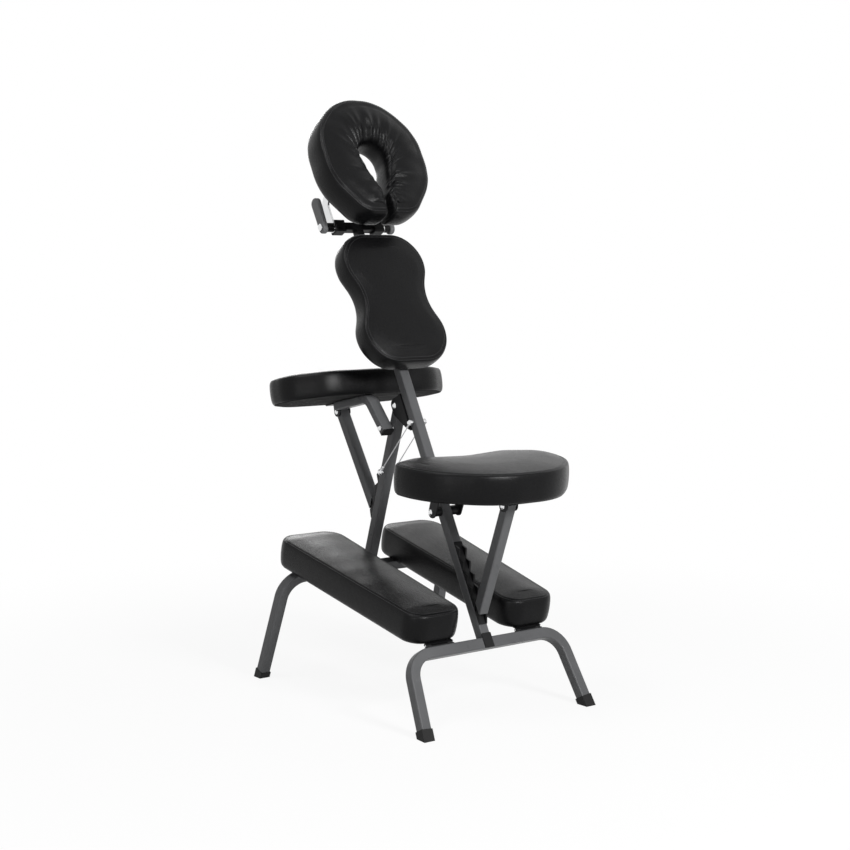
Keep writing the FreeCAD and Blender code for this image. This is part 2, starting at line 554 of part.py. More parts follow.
def face_outline(inset):
    """An oval pad with a drop-shaped hole that opens through a slot at the chin."""
    half, long = f"(face_half-{inset})", f"(face_long-{inset})"
    gap, hole_half = f"(face_gap_half+0.5*{inset})", f"(face_hole_half+{inset})"
    low, high = f"(face_along-{long})", f"(face_along+{long})"
    right = [(gap, low, "6"), (f"{half}*0.5", low, f"(62-{inset})"),
             (half, f"(face_along-{long}*0.42)", f"(132-{inset})"),
             (half, f"(face_along+{long}*0.42)", f"(132-{inset})"),
             (f"{half}*0.42", high, f"(132-{inset})")]
    hole_right = [(hole_half, f"(face_along+face_hole_top+{inset})", f"(30+{inset}*0.9)"),
                  (hole_half, "(face_along+face_hole_mid)", f"(50+{inset}*0.6)"),
                  (gap, "(face_along-face_hole_low)", "40")]
    left = [(f"-{x}", y, r) for x, y, r in reversed(right)]
    hole_left = [(f"-{x}", y, r) for x, y, r in reversed(hole_right)]
    return right + left + hole_left + hole_right


EDGE = ((1.0, 0.0), (0.3, 0.22), (0.0, 0.5), (0.3, 0.78), (1.4, 0.94))


def upholster(name, frame, role, outline, base, thick, crown_inset, edge="pad_under"):
    """A board on the base plane and the pad whose cover wraps round the board's edge."""
    board = body(f"{name}_board", frame)
    pad(board, draw(board, role, [outline("board_inset")], lift=base), "board_thick")
    wrap = cushion(f"{name}_pad", frame, role, outline, base, f"({thick}+board_thick)", crown_inset, edge)
    recess = draw(wrap, role, [outline("(board_inset-board_gap)")], lift=base)
    cut(wrap, recess, "board_thick", both=False, back=True)


def cushion(label, frame, role, outline, base, thick, crown_inset, edge):
    made = body(label, frame)
    sections = [draw(made, role, [outline(f"({edge}*{drawn})")], lift=f"({base}+({thick})*{share})")
                for drawn, share in EDGE]
    sections.append(draw(made, role, [outline(f"({edge}*3.4)")], lift=f"({base}+({thick})+pad_crown*0.25)"))
    sections.append(draw(made, role, [outline(crown_inset)], lift=f"({base}+({thick})+pad_crown)"))
    loft(made, sections)
    return made


upholster("seat", "seat", "XY_Plane", seat_outline, "0", "seat_thick", "42")
upholster("armrest", "arm", "XY_Plane", arm_outline, "0", "arm_thick", "42")
upholster("chest", "rear", "XZ_Plane", chest_outline, "chest_base", "chest_thick-pad_crown", "34")
upholster("knee_left", "knee", "XY_Plane", knee_outline("-1"), "knee_base", "knee_thick-pad_crown", "34")
upholster("knee_right", "knee", "XY_Plane", knee_outline("1"), "knee_base", "knee_thick-pad_crown", "34")
cushion("face_pad", "rear", "XZ_Plane", face_outline, "face_back", "face_thick-pad_crown", "32", "8")

# Seat brackets, pivot bolt and sleeves.
cheeks = body("seat_bracket", "seat")
py, pz = "pivot_in_seat_y", "pivot_in_seat_z"
profile = [(f"{py}+bracket_nose", f"{pz}-bracket_nose", "bracket_nose-1"),
           (f"{py}+bracket_nose-bracket_lean", "0", "10"), ("-bracket_back", "0"),
           ("-bracket_back", "-bracket_nose", "5"),
           (f"{py}-bracket_nose-bracket_lean", "-2*bracket_nose", "14"),
           (f"{py}-bracket_nose", f"{pz}-bracket_nose", "bracket_nose-1")]
pad(cheeks, draw(cheeks, "YZ_Plane", [profile]), "2*bracket_half", both=True)
hollow = [("-2*bracket_back", "-bracket_plate"), ("seat_front/2", "-bracket_plate"),
          ("seat_front/2", "seat_front"), ("3*seat_front", "seat_front"), ("3*seat_front", "-3*seat_front"),
          ("-2*bracket_back", "-3*seat_front")]
cut(cheeks, draw(cheeks, "YZ_Plane", [hollow]), "2*(bracket_half-bracket_plate)")
cut(cheeks, draw(cheeks, "YZ_Plane", circles=[(py, pz, hole)]), "4*bracket_half")
bolt("seat_pivot_bolt", "seat_pivot_y", "seat_pivot_z", "bracket_half", "bracket_half")
rings("seat_sleeves", "seat_pivot_y", "seat_pivot_z", "(tube_half+turn_gap)",
      "(bracket_half-bracket_plate)", "sleeve_size", hole)


def strut_bracket(label, frame, y, drop):
    """A plate under the board with two lugs that hold the strut's bolt."""
    made = body(label, frame)
    plate = rect("-strut_plate_half", "strut_plate_half", f"{y}-strut_plate_depth/2",
                 f"{y}+strut_plate_depth/2", "5")
    pad(made, draw(made, "XY_Plane", [plate]), "lug_plate", back=True)
    lugs = [(f"{y}-lug_nose", f"-{drop}-lug_nose", "lug_nose-1"),
            (f"{y}+lug_nose", f"-{drop}-lug_nose", "lug_nose-1"),
            (f"{y}+lug_nose", "-1"), (f"{y}-lug_nose", "-1")]
    pad(made, draw(made, "YZ_Plane", [lugs]), "2*(strut_inner+lug_plate)", both=True)
    room = rect(f"{y}-2*strut_plate_depth", f"{y}+2*strut_plate_depth", f"-{drop}-3*lug_nose", "-lug_plate")
    cut(made, draw(made, "YZ_Plane", [room]), "2*strut_inner")
    cut(made, draw(made, "YZ_Plane", circles=[(y, f"-{drop}", hole)]), "8*strut_inner")


def strut(name, frame, lean, sign):
    """A square strut hung from its bolt, mitred along its post, with a tongue that drops into the rack."""
    long, slant = f"{frame}_long", f"({frame}_angle+{lean}*1deg)"
    tube_end = f"({long}-foot_clear)"
    s, c, span = f"sin({slant})", f"cos({slant})", "3*tube_side"
    stand = "(tube_half+rack_web+rack_tooth+rack_gap-foot_stand)"
    mitre = [(f"{sign}*({up}*{s}+({toward})*{c})", f"({up}*{c}-({toward})*{s}-{long})")
             for up, toward in ((f"(-{span})", f"-{stand}"), (f"({span})", f"-{stand}"),
                                (f"({span})", span), (f"(-{span})", span))]
    made = body(f"{name}_strut", frame)
    walls = tube_loops("tube_side", "tube_wall", "tube_corner")
    pad(made, draw(made, "XY_Plane", walls, lift=f"-{tube_end}"), f"{tube_end}+strut_top_over")
    cut(made, draw(made, "YZ_Plane", [mitre]), "2*tube_side")
    cut(made, draw(made, "YZ_Plane", circles=[("0", "0", hole)]), "4*tube_side")
    foot = body(f"{name}_strut_foot", frame)
    inner = "(tube_half-tube_wall)"
    core = rect(f"-{inner}", inner, f"-{inner}", inner, "(tube_corner-tube_wall)")
    pad(foot, draw(foot, "XY_Plane", [core], lift=f"-{tube_end}"), "plug_long")
    cut(foot, draw(foot, "YZ_Plane", [mitre]), "2*tube_side")
    blade = rect("-tongue_half", "tongue_half", "-tongue_thick/2", "tongue_thick/2")
    pad(foot, draw(foot, "XY_Plane", [blade], lift=f"-{long}"), "tongue_long")


lug_outer = "(strut_inner+lug_plate)"
strut_bracket("seat_strut_bracket", "seat", "(-seat_strut_y)", "seat_strut_drop")
strut("seat", "seat_strut", "rear_lean", "1")
bolt("seat_strut_bolt", "seat_strut_wy", "seat_strut_wz", lug_outer, lug_outer)
strut_bracket("armrest_strut_bracket", "arm", "arm_strut_y", "arm_strut_drop")
strut("armrest", "arm_strut", "front_lean", "-1")
bolt("armrest_strut_bolt", "arm_strut_wy", "arm_strut_wz", lug_outer, lug_outer)

# Armrest arm: one bent rectangular tube beside the front post, on its own bolt.
arm = body("armrest_arm", "arm")
path = [("arm_reach", "-arm_tube_deep/2"), ("arm_bend_y", "-arm_tube_deep/2", "arm_bend"),
        ("arm_low_y", "arm_low_z")]
centre = "(-arm_tube_x)"
section = [rect(f"{centre}-arm_tube_wide/2", f"{centre}+arm_tube_wide/2", "-arm_tube_deep", "0",
                "tube_corner"),
           rect(f"{centre}-arm_tube_wide/2+tube_wall", f"{centre}+arm_tube_wide/2-tube_wall",
                "tube_wall-arm_tube_deep", "-tube_wall", "(tube_corner-tube_wall)")]
bent = arm.newObject("PartDesign::AdditivePipe", "armrest_arm_bend")
bent.Profile = draw(arm, "XZ_Plane", section, lift="-arm_reach")
bent.Spine = draw(arm, "YZ_Plane", [path], lift=centre, closed=False)
cut(arm, draw(arm, "YZ_Plane", circles=[("pivot_in_arm_y", "pivot_in_arm_z", hole)]), "8*arm_tube_x")
plug = body("armrest_arm_plug", "arm_plug")
plug_loop = rect(f"{centre}-arm_tube_wide/2", f"{centre}+arm_tube_wide/2", "-arm_tube_deep/2",
                 "arm_tube_deep/2", "tube_corner")
pad(plug, draw(plug, "XY_Plane", [plug_loop]), "arm_plug", back=True)
bolt("armrest_pivot_bolt", "arm_pivot_y", "arm_pivot_z", "(arm_tube_x+arm_tube_wide/2)", "tube_half")
washer = rect("-(tube_half+arm_gap)", "-(tube_half+turn_gap)", f"({hole})/2", "washer_size/2")
spin("armrest_washer", "arm_pivot_y", "arm_pivot_z", [washer])

# Knee pad hinges on the rear crossbar and rubber rests on the front one.
bases = body("knee_hinge_bases", "rear")
top = "(rear_bar_along+tube_half)"
pin_hole = "(pin_size+2*pin_fit)"
leaf = rect("-tube_half+1", "tube_half-tube_corner", top, f"{top}+leaf_thick")
ear = [("-pin_back-barrel_size/2", f"{top}"), ("-pin_back+barrel_size/2", f"{top}"),
       ("-pin_back+barrel_size/2", f"{top}+pin_rise+barrel_size/2", "barrel_size/2-0.05"),
       ("-pin_back-barrel_size/2", f"{top}+pin_rise+barrel_size/2", "barrel_size/2-0.05")]
for side in ("1", "-1"):
    pad(bases, draw(bases, "YZ_Plane", [leaf], lift=f"{side}*leaf_x"), "2*leaf_half", both=True)
    for end in ("1", "-1"):
        lift = f"({side}*leaf_x+{end}*(leaf_half-knuckle_wide/2))"
        pad(bases, draw(bases, "YZ_Plane", [ear], lift=lift), "knuckle_wide", both=True)
cut(bases, draw(bases, "YZ_Plane", circles=[("-pin_back", f"{top}+pin_rise", pin_hole)]), "8*leaf_x")
rings("knee_hinge_pins", "pin_y", "pin_z", "(leaf_x-leaf_half)", "(leaf_x+leaf_half)", "pin_size", "0")
for name, side in (("left", "-1"), ("right", "1")):
    made = body(f"knee_{name}_leaf", "knee")
    plate = rect("-barrel_size/2", "leaf_depth", "knee_base-leaf_thick", "knee_base")
    pad(made, draw(made, "YZ_Plane", [plate], lift=f"{side}*leaf_x"), "2*leaf_half", both=True)
    knuckle = [("barrel_size/2", "-barrel_size/2", "barrel_size/2-0.05"),
               ("barrel_size/2", "knee_base-leaf_thick/2"), ("-barrel_size/2", "knee_base-leaf_thick/2"),
               ("-barrel_size/2", "-barrel_size/2", "barrel_size/2-0.05")]
    pad(made, draw(made, "YZ_Plane", [knuckle], lift=f"{side}*leaf_x"),
        "2*(leaf_half-knuckle_wide-leaf_gap)", both=True)
    cut(made, draw(made, "YZ_Plane", circles=[("0", "0", pin_hole)], lift=f"{side}*leaf_x"), "4*leaf_half")

# Chest strip, head stem and its guides.
strip = body("chest_strip", "rear")
strip_loop = rect("-strip_half", "strip_half", "chest_along-strip_long", "chest_along+strip_long", "4")
pad(strip, draw(strip, "XZ_Plane", [strip_loop], lift="tube_half"), "strip_thick")
stem = body("head_stem", "rear")
pad(stem, draw(stem, "XY_Plane", tube_loops("stem_side", "stem_wall", "stem_corner"), lift="stem_bottom"),
    "head_along-stem_side/2-stem_bottom")


def square_ring(owner, half_out, corner_out, half_in, corner_in, low, long):
    loops = [rect(f"-{half_out}", half_out, f"-{half_out}", half_out, corner_out),
             rect(f"-{half_in}", half_in, f"-{half_in}", half_in, corner_in)]
    pad(owner, draw(owner, "XY_Plane", loops, lift=low), long)


bore_half = "(tube_half-tube_wall)"
free_half = "(stem_side/2+stem_fit)"
collar = body("post_collar", "rear")
square_ring(collar, bore_half, "(tube_corner-tube_wall)", free_half, "stem_corner",
            "(post_top-collar_long)", "collar_long")
square_ring(collar, "tube_half", "tube_corner", free_half, "stem_corner", "post_top", "collar_rim")
bush = body("stem_bush", "rear")
square_ring(bush, f"({bore_half}-stem_fit)", "(tube_corner-tube_wall)", "(stem_side/2)", "stem_corner",
            "stem_bottom", "bush_long")

# Head crossbar with its friction blocks, spindles, cups, levers and the face cradle.
bar = body("head_crossbar", "rear")
bar_loop = rect("-stem_side/2", "stem_side/2", "head_along-stem_side/2", "head_along+stem_side/2",
                "stem_corner")
pad(bar, draw(bar, "YZ_Plane", [bar_loop]), "2*crossbar_half", both=True)
spindle_hole = "(spindle_size+2*spindle_fit)"
for side, back in (("1", False), ("-1", True)):
    socket = draw(bar, "YZ_Plane", circles=[("0", "head_along", spindle_hole)], lift=f"{side}*crossbar_half")
    cut(bar, socket, "spindle_deep", both=False, back=back)


def soften(owner, solid, radius):
    """Round the rims of a plate that was drawn in the side plane."""
    doc.recompute()
    rims = [f"Edge{i}" for i, edge in enumerate(solid.Shape.Edges, 1) if edge.BoundBox.XLength < 0.01]
    made = owner.newObject("PartDesign::Fillet", owner.Label + "_rims")
    made.Base = (solid, rims)
    made.Radius = number(radius)
    made.setExpression("Radius", full(radius))


def side_piece(label, loop, start, thick, sides, rim=None):
    """Plates on the spindles, drawn in the side plane, one for each side given."""
    made = body(label, "rear")
    for side in sides:
        lift = f"({side}*({start}+{thick}/2))"
        solid = pad(made, draw(made, "YZ_Plane", [loop], lift=lift), thick, both=True)
        if rim:
            soften(made, solid, rim)
    cut(made, draw(made, "YZ_Plane", circles=[("0", "head_along", spindle_hole)]), f"4*({start}+{thick})")


block = rect("-block_deep/2", "block_deep/2", "head_along-block_tall/2", "head_along+block_tall/2", "5")
side_piece("friction_blocks", block, "crossbar_half", "block_wide", ("1", "-1"))
w = "cradle_arm_wide/2"
rail = [(w, f"head_along-{w}-1", f"{w}-1"), (w, "head_along+cradle_arm_up", "24"),
        ("-cradle_back", "face_along+cradle_foot/2"), ("-cradle_back", "face_along-cradle_foot/2"),
        (f"-{w}", f"head_along+cradle_arm_up-{w}", "18"), (f"-{w}", f"head_along-{w}-1", f"{w}-1")]
side_piece("cradle_arm_left", rail, "arm_plate_start", "cradle_arm_thick", ("-1",))
side_piece("cradle_arm_right", rail, "arm_plate_start", "cradle_arm_thick", ("1",))
paddle = [("lever_wide*0.4", "head_along-lever_wide*0.5", "lever_wide*0.38"),
          ("lever_wide/2", "head_along+lever_long-lever_wide/2", "lever_wide*0.46"),
          ("-lever_wide/2", "head_along+lever_long-lever_wide/2", "lever_wide*0.46"),
          ("-lever_wide*0.4", "head_along-lever_wide*0.5", "lever_wide*0.38")]
side_piece("cam_lever_left", paddle, "lever_start", "lever_thick", ("-1",), "lever_round")
side_piece("cam_lever_right", paddle, "lever_start", "lever_thick", ("1",), "lever_round")
head_y, head_z = rear_place("0", "head_along")
rings("cam_cups", head_y, head_z, "cup_start", "(cup_start+cup_wide)", "cup_size", spindle_hole)
spindle = [("crossbar_half-spindle_deep", "0"), ("crossbar_half-spindle_deep", "spindle_size/2"),
           ("nut_start", "spindle_size/2"), ("nut_start", "nut_size/2"),
           ("nut_start+nut_wide*0.6", "nut_size/2"), ("nut_start+nut_wide", "nut_size*0.36"),
           ("nut_start+nut_wide", "0")]
spin("cradle_spindles", head_y, head_z, [spindle, [(f"-1*({x})", r) for x, r in spindle]])
plate = body("cradle_plate", "rear")
pad(plate, draw(plate, "XZ_Plane", [face_outline("cradle_inset")], lift="cradle_back"), "cradle_thick")

doc.recompute()
failed = [obj.Label for obj in doc.Objects if "Invalid" in obj.State or "Error" in obj.State]
if failed:
    raise RuntimeError("features failed: " + ", ".join(failed))
os.makedirs("parts", exist_ok=True)
for piece in pieces:
    if piece.Shape.isNull() or not piece.Shape.isValid():
        raise RuntimeError(piece.Label + " has no valid shape")
for piece in pieces:
    piece.Shape.exportStep(os.path.join("parts", piece.Label + ".step"))
print(len(pieces), "parts written")
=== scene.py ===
import json
import math

import bmesh
import bpy
import numpy as np
from bpy.props import FloatProperty, FloatVectorProperty, IntProperty, PointerProperty
from bpy.types import Operator, Panel, PropertyGroup
from mathutils import Matrix, Vector
from mathutils.bvhtree import BVHTree


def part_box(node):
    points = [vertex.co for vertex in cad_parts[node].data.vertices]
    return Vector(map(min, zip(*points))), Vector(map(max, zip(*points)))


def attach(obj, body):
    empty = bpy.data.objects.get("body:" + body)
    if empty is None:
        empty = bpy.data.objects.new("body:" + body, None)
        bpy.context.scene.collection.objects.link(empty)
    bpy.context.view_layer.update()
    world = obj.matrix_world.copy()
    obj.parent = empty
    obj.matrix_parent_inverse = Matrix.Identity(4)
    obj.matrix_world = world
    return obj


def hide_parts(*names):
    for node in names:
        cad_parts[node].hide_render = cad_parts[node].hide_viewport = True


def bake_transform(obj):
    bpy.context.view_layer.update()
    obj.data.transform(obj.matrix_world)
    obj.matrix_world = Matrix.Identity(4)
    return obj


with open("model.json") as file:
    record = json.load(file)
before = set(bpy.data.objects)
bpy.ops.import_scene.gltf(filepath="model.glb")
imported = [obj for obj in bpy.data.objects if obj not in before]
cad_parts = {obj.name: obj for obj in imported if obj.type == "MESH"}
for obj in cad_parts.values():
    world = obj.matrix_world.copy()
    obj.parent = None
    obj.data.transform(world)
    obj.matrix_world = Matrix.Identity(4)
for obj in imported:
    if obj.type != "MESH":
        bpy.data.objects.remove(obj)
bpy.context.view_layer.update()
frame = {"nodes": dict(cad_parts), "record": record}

bl_info = {
    "name": "Folding massage chair",
    "version": (1, 0, 0),
    "blender": (4, 5, 0),
    "location": "3D View > Sidebar > Chair",
    "description": "Dresses the packed frame of a folding massage chair and stages it",
    "category": "Object",
}

MM = 0.001


def place(y, z, turn):
    """A frame of the chair: its origin in millimetres and its turn about X in degrees."""
    return Matrix.Translation((0, y * MM, z * MM)) @ Matrix.Rotation(math.radians(turn), 4, "X")


REAR = place(-318.0, 0.0, -28.86)
SEAT = place(-195.9, 503.2, 3.4)
ARM = place(271.1, 668.8, -11.9)
KNEE = place(-226.68, 173.98, 11.20)
# the plane of the chest and face pads, with the height behind the post as third axis
BACK = REAR @ Matrix(((1, 0, 0, 0), (0, 0, -1, 0), (0, 1, 0, 0), (0, 0, 0, 1)))

# middles of the chest and face pads along the post, and undersides of the pads, mm
CHEST_MIDDLE = 1016.0
FACE_MIDDLE = 1351.0
CHEST_BASE = 15.5
KNEE_BASE = 4.8
FACE_BASE = 79.6

# cloth: frames that are stepped, pressure, and how far a point may move
CLOTH_FRAMES = 16
PRESSURE = 4.0
BOXED_CAP = 1.6 * MM
FACE_CAP = 3.0 * MM

# covers: spans across the top of a boxed pad and of the face pad, and spacing of the face loop, mm
BOXED_SPANS = 14
FACE_SPANS = 18
FACE_SPACING = 2.0
# share of a boxed pad's crown that lies inside its last ring
INNER_CROWN = 0.38

# unevenness of the covers: length and height of the waves, mm
BOXED_WAVE = (110.0, 0.25)
FACE_WAVE = (60.0, 0.5)

# stitches: length, distance, radius and lift of the threads, m
STITCH_LONG = 0.0042
STITCH_PITCH = 0.0056
THREAD_RADIUS = 0.00042
THREAD_LIFT = 0.0001
THREAD_SIDES = 6
# share of a stitch, height over its lift and half width, both in thread radii, from end to end
THREAD_SHAPE = ((0.0, -0.6, 0.55), (0.25, 0.25, 1.0), (0.75, 0.25, 1.0), (1.0, -0.6, 0.55))
# rays that lay a stitch row on a pad: inset and drop of the point they aim at, mm, and their start, m
CAST_INSET = 12.0
CAST_DROP = 16.0
CAST_REACH = 0.02

# gathers: folds round the face hole and on each side of the chin, height on its lip and on the cover
# round it, distance at which they are twice as wide, height where they start on the hole's wall, and
# the height over which they grow from there, mm
FOLDS_ROUND = 46
FOLDS_BESIDE = 9
LIP_FOLDS = 3.0
COVER_FOLDS = 3.6
FOLD_SPREAD = 70.0
LIP_START = 34.0
LIP_DEPTH = 36.0
# the hole's wall is held below the first height, and the cover is uneven above the second, mm
HOLE_HELD = 20
UNEVEN_FROM = 66
GATHER_SEED = 7
FACE_SEED = 11
# stitch rows of the face pad as (inset, height), mm
FACE_ROWS = ((4.6, 152.0), (11.2, 155.0))

# stop cables: eye radius, radius of its wire, half the eye's box, and start of the strands
EYE_RADIUS = 5.5 * MM
EYE_WIRE = 1.4 * MM
EYE_REACH = 7.0 * MM
STRAND_START = 18.0 * MM
STRANDS = 6
STEPS_PER_LAY = 14
EYE_POINTS = 36
EYE_SIDES = 10
SLEEVE_SIDES = 20
STRAND_SIDES = 6


def corner_arc(before, here, after, radius):
    """Start, centre and swept angle of the arc that rounds a corner."""
    u, v = here - before, after - here
    u, v = u / np.hypot(*u), v / np.hypot(*v)
    turn = math.atan2(u[0] * v[1] - u[1] * v[0], float(u @ v))
    start = here - u * radius * math.tan(abs(turn) / 2)
    centre = start + np.array((-u[1], u[0])) * radius * math.copysign(1, turn)
    return start, centre, turn


def loop_arcs(corners):
    """The rounding arc of each corner (x, y, radius) of a loop."""
    spots = [np.array(c[:2], float) for c in corners]
    total = len(spots)
    return [corner_arc(spots[i - 1], spots[i], spots[(i + 1) % total], corners[i][2]) for i in range(total)]


def swung(start, centre, angle):
    """A point turned about a centre."""
    c, s = math.cos(angle), math.sin(angle)
    d = start - centre
    return centre + np.array((c * d[0] - s * d[1], s * d[0] + c * d[1]))


def trace(corners, counts):
    """Points of a rounded loop: counts holds the points on each arc and the line after it."""
    arcs = loop_arcs(corners)
    points = []
    for i, (start, centre, turn) in enumerate(arcs):
        on_arc, on_line = counts[i]
        points += [swung(start, centre, turn * k / on_arc) for k in range(on_arc)]
        end = swung(start, centre, turn)
        after = arcs[(i + 1) % len(arcs)][0]
        points += [end + (after - end) * k / on_line for k in range(on_line)]
    return np.array(points)


def share(corners, step):
    """How many points each arc and line of a loop takes at a given spacing, an even number in all."""
    arcs = loop_arcs(corners)
    counts = []
    for i, (start, centre, turn) in enumerate(arcs):
        line = arcs[(i + 1) % len(arcs)][0] - swung(start, centre, turn)
        on_arc = max(4, round(abs(turn) * corners[i][2] / step))
        on_line = max(1, round(float(np.hypot(*line)) / step))
        counts.append((on_arc, on_line))
    if sum(map(sum, counts)) % 2:
        counts[-1] = (counts[-1][0], counts[-1][1] + 1)
    return counts


def flipped(right):
    """The left half of a loop, from its right half."""
    return [(-x, y, r) for x, y, r in reversed(right)]


def mirrored(right):
    """A whole loop, from its right half."""
    return right + flipped(right)


def seat_outline(d):
    """Corners of the seat pad drawn in by d, with the notch in its front edge."""
    half, front, rear = 212.0 - d, 75.0 - d, 192.5 - d
    right = [(half * 0.414, -rear, 170 - d), (half, -rear * 0.414, 170 - d),
             (half, front * 0.42, 46 - 0.6 * d), (half * 0.6, front, 75 - 0.6 * d)]
    return right + [(0.0, front - 26.7, 120.0)] + flipped(right)


def arm_outline(d):
    """Corners of the armrest pad drawn in by d."""
    half, front, rear = 233.0 - d, 113.1 - d, 108.8 - d
    return mirrored([(half * 0.645, -rear, 110 - d), (half, -rear * 0.4, 72 - d),
                     (half, front * 0.4, 72 - d), (half * 0.645, front, 110 - d)])


def chest_outline(d):
    """Corners of the waisted chest pad drawn in by d."""
    half, waist, long = 128.0 - d, 84.0 - d, 171.0 - d
    low, high, shoulder = CHEST_MIDDLE - long, CHEST_MIDDLE + long, long * 0.4
    return mirrored([(half * 0.6, low, 74 - d), (half, low + shoulder, 80 - d), (waist, CHEST_MIDDLE, 110.0),
                     (half, high - shoulder, 80 - d), (half * 0.6, high, 74 - d)])


def knee_outline(sign):
    """The outline of the knee pad on one side."""
    def outline(d):
        inner, rear, front = sign * (60.0 + d), sign * (203.0 - d), sign * (234.5 - d)
        back, far, radius = d - 5.0, 543.0 - d, 46 - 0.8 * d
        loop = [(inner, back, radius), (rear, back, radius), (front, far, radius), (inner, far, radius)]
        return loop if sign > 0 else loop[::-1]
    return outline


def mesh_object(name, verts, faces):
    """A smooth shaded mesh object in the scene."""
    mesh = bpy.data.meshes.new(name)
    mesh.from_pydata([tuple(v) for v in verts], [], faces)
    mesh.validate()
    made = bpy.data.objects.new(name, mesh)
    bpy.context.scene.collection.objects.link(made)
    for poly in mesh.polygons:
        poly.use_smooth = True
    return made


def to_world(matrix, points):
    """Points in millimetres of a frame, in metres of the row frame."""
    m = np.array(matrix, float)
    return np.asarray(points, float) * MM @ m[:3, :3].T + m[:3, 3]


def pinned_cloth(obj, weights, cap):
    """Inflates a closed pad: weighted points stay, no point moves further than cap."""
    rest = np.array([v.co for v in obj.data.vertices])
    pins = obj.vertex_groups.new(name="held")
    for index, weight in enumerate(weights):
        if weight > 0:
            pins.add([index], float(weight), "REPLACE")
    cloth = obj.modifiers.new("inflate", "CLOTH")
    settings = cloth.settings
    settings.quality = 5
    settings.mass = 0.4
    settings.tension_stiffness = 25
    settings.compression_stiffness = 25
    settings.bending_stiffness = 1.5
    settings.use_pressure = True
    settings.uniform_pressure_force = PRESSURE
    settings.effector_weights.gravity = 0
    settings.vertex_group_mass = pins.name
    cloth.collision_settings.use_collision = False
    scene = bpy.context.scene
    for step in range(1, CLOTH_FRAMES + 1):
        scene.frame_set(step)
    graph = bpy.context.evaluated_depsgraph_get()
    shaped = obj.evaluated_get(graph).to_mesh()
    moved = np.array([v.co for v in shaped.vertices])
    obj.evaluated_get(graph).to_mesh_clear()
    obj.modifiers.remove(cloth)
    obj.vertex_groups.remove(pins)
    scene.frame_set(1)
    shift = moved - rest
    far = np.linalg.norm(shift, axis=1, keepdims=True)
    shift *= np.minimum(1.0, cap / np.maximum(far, 1e-9))
    obj.data.vertices.foreach_set("co", (rest + shift).ravel())
    obj.data.update()


def smooth_noise(points, scale, seed):
    """A slow sum of sines over space, about -1 to 1, the same on every run."""
    rng = np.random.default_rng(seed)
    total = np.zeros(len(points))
    for _ in range(6):
        way = rng.normal(size=3)
        way /= np.linalg.norm(way)
        total += np.sin(points @ way * (2 * math.pi / scale) * rng.uniform(0.6, 1.6) + rng.uniform(0, 6.28))
    return total / 3.0


def ring_faces(rings, count, first=0):
    """Quads between closed rings of points that follow each other."""
    faces = []
    for r in range(rings - 1):
        low, high = first + r * count, first + (r + 1) * count
        for i in range(count):
            j = (i + 1) % count
            faces.append((low + i, low + j, high + j, high + i))
    return faces


def boxed_profile(height, crown):
    """Rings of a boxed pad as (inset, height, held).

    The cover turns in under the board, stands up as a nearly straight wall, dips into the seam
    at the top edge and rises to the crown.
    """
    wall = [(30.0, 0.0, 1), (13.0, 0.0, 1), (7.0, 0.4, 1), (3.6, 3.0, 0.8), (1.8, 8.5, 0.3),
            (0.6, height * 0.28, 0), (0.0, height * 0.48, 0), (0.2, height * 0.66, 0),
            (0.8, height * 0.79, 0), (1.6, height * 0.87, 0), (2.7, height * 0.925, 0.2),
            (4.3, height * 0.958, 0.5), (6.2, height * 0.978, 0.9)]
    seam = [(7.4, height * 0.978 - 1.3, 1), (8.6, height * 0.986, 0.9)]
    top = [(11.0, height * 0.998, 0.4), (14.5, height + crown * 0.08, 0), (19.0, height + crown * 0.18, 0),
           (25.0, height + crown * 0.32, 0), (32.0, height + crown * 0.47, 0),
           (40.0, height + crown * 0.62, 0)]
    return wall + seam + top


def shortest_start(loop):
    """Where an even loop is halved so that the rows across it are shortest."""
    half = len(loop) // 2
    turned = [np.roll(loop, -k, axis=0) for k in range(len(loop))]
    spans = [np.linalg.norm(t[:half] - t[::-1][:half], axis=1).sum() for t in turned]
    return int(np.argmin(spans))


def rows_across(edge, spans, rise):
    """Points of a crowned cover inside a loop: rows from one half of the loop to the other."""
    count = len(edge)
    half = count // 2
    points = []
    for i in range(1, half - 1):
        t = i / (half - 1)
        near, far = edge[i], edge[count - 1 - i]
        for step in range(1, spans):
            f = step / spans
            spot = near * (1 - f) + far * f
            spot[2] += rise * 4 * f * (1 - f) * (1 - (2 * t - 1) ** 4)
            points.append(spot)
    return np.array(points)


def cover_faces(first, count, inside, spans):
    """Faces of a cover whose loop starts at first and whose inner rows start at inside."""
    half = count // 2

    def corner(i, step):
        if i in (0, half - 1) or step in (0, spans):
            return first + (i if step <= spans // 2 else count - 1 - i)
        return inside + (i - 1) * (spans - 1) + step - 1

    faces = []
    for i in range(half - 1):
        for step in range(spans):
            quad = (corner(i, step), corner(i + 1, step), corner(i + 1, step + 1), corner(i, step + 1))
            face = tuple(dict.fromkeys(quad))
            if len(face) > 2:
                faces.append(face)
    return faces


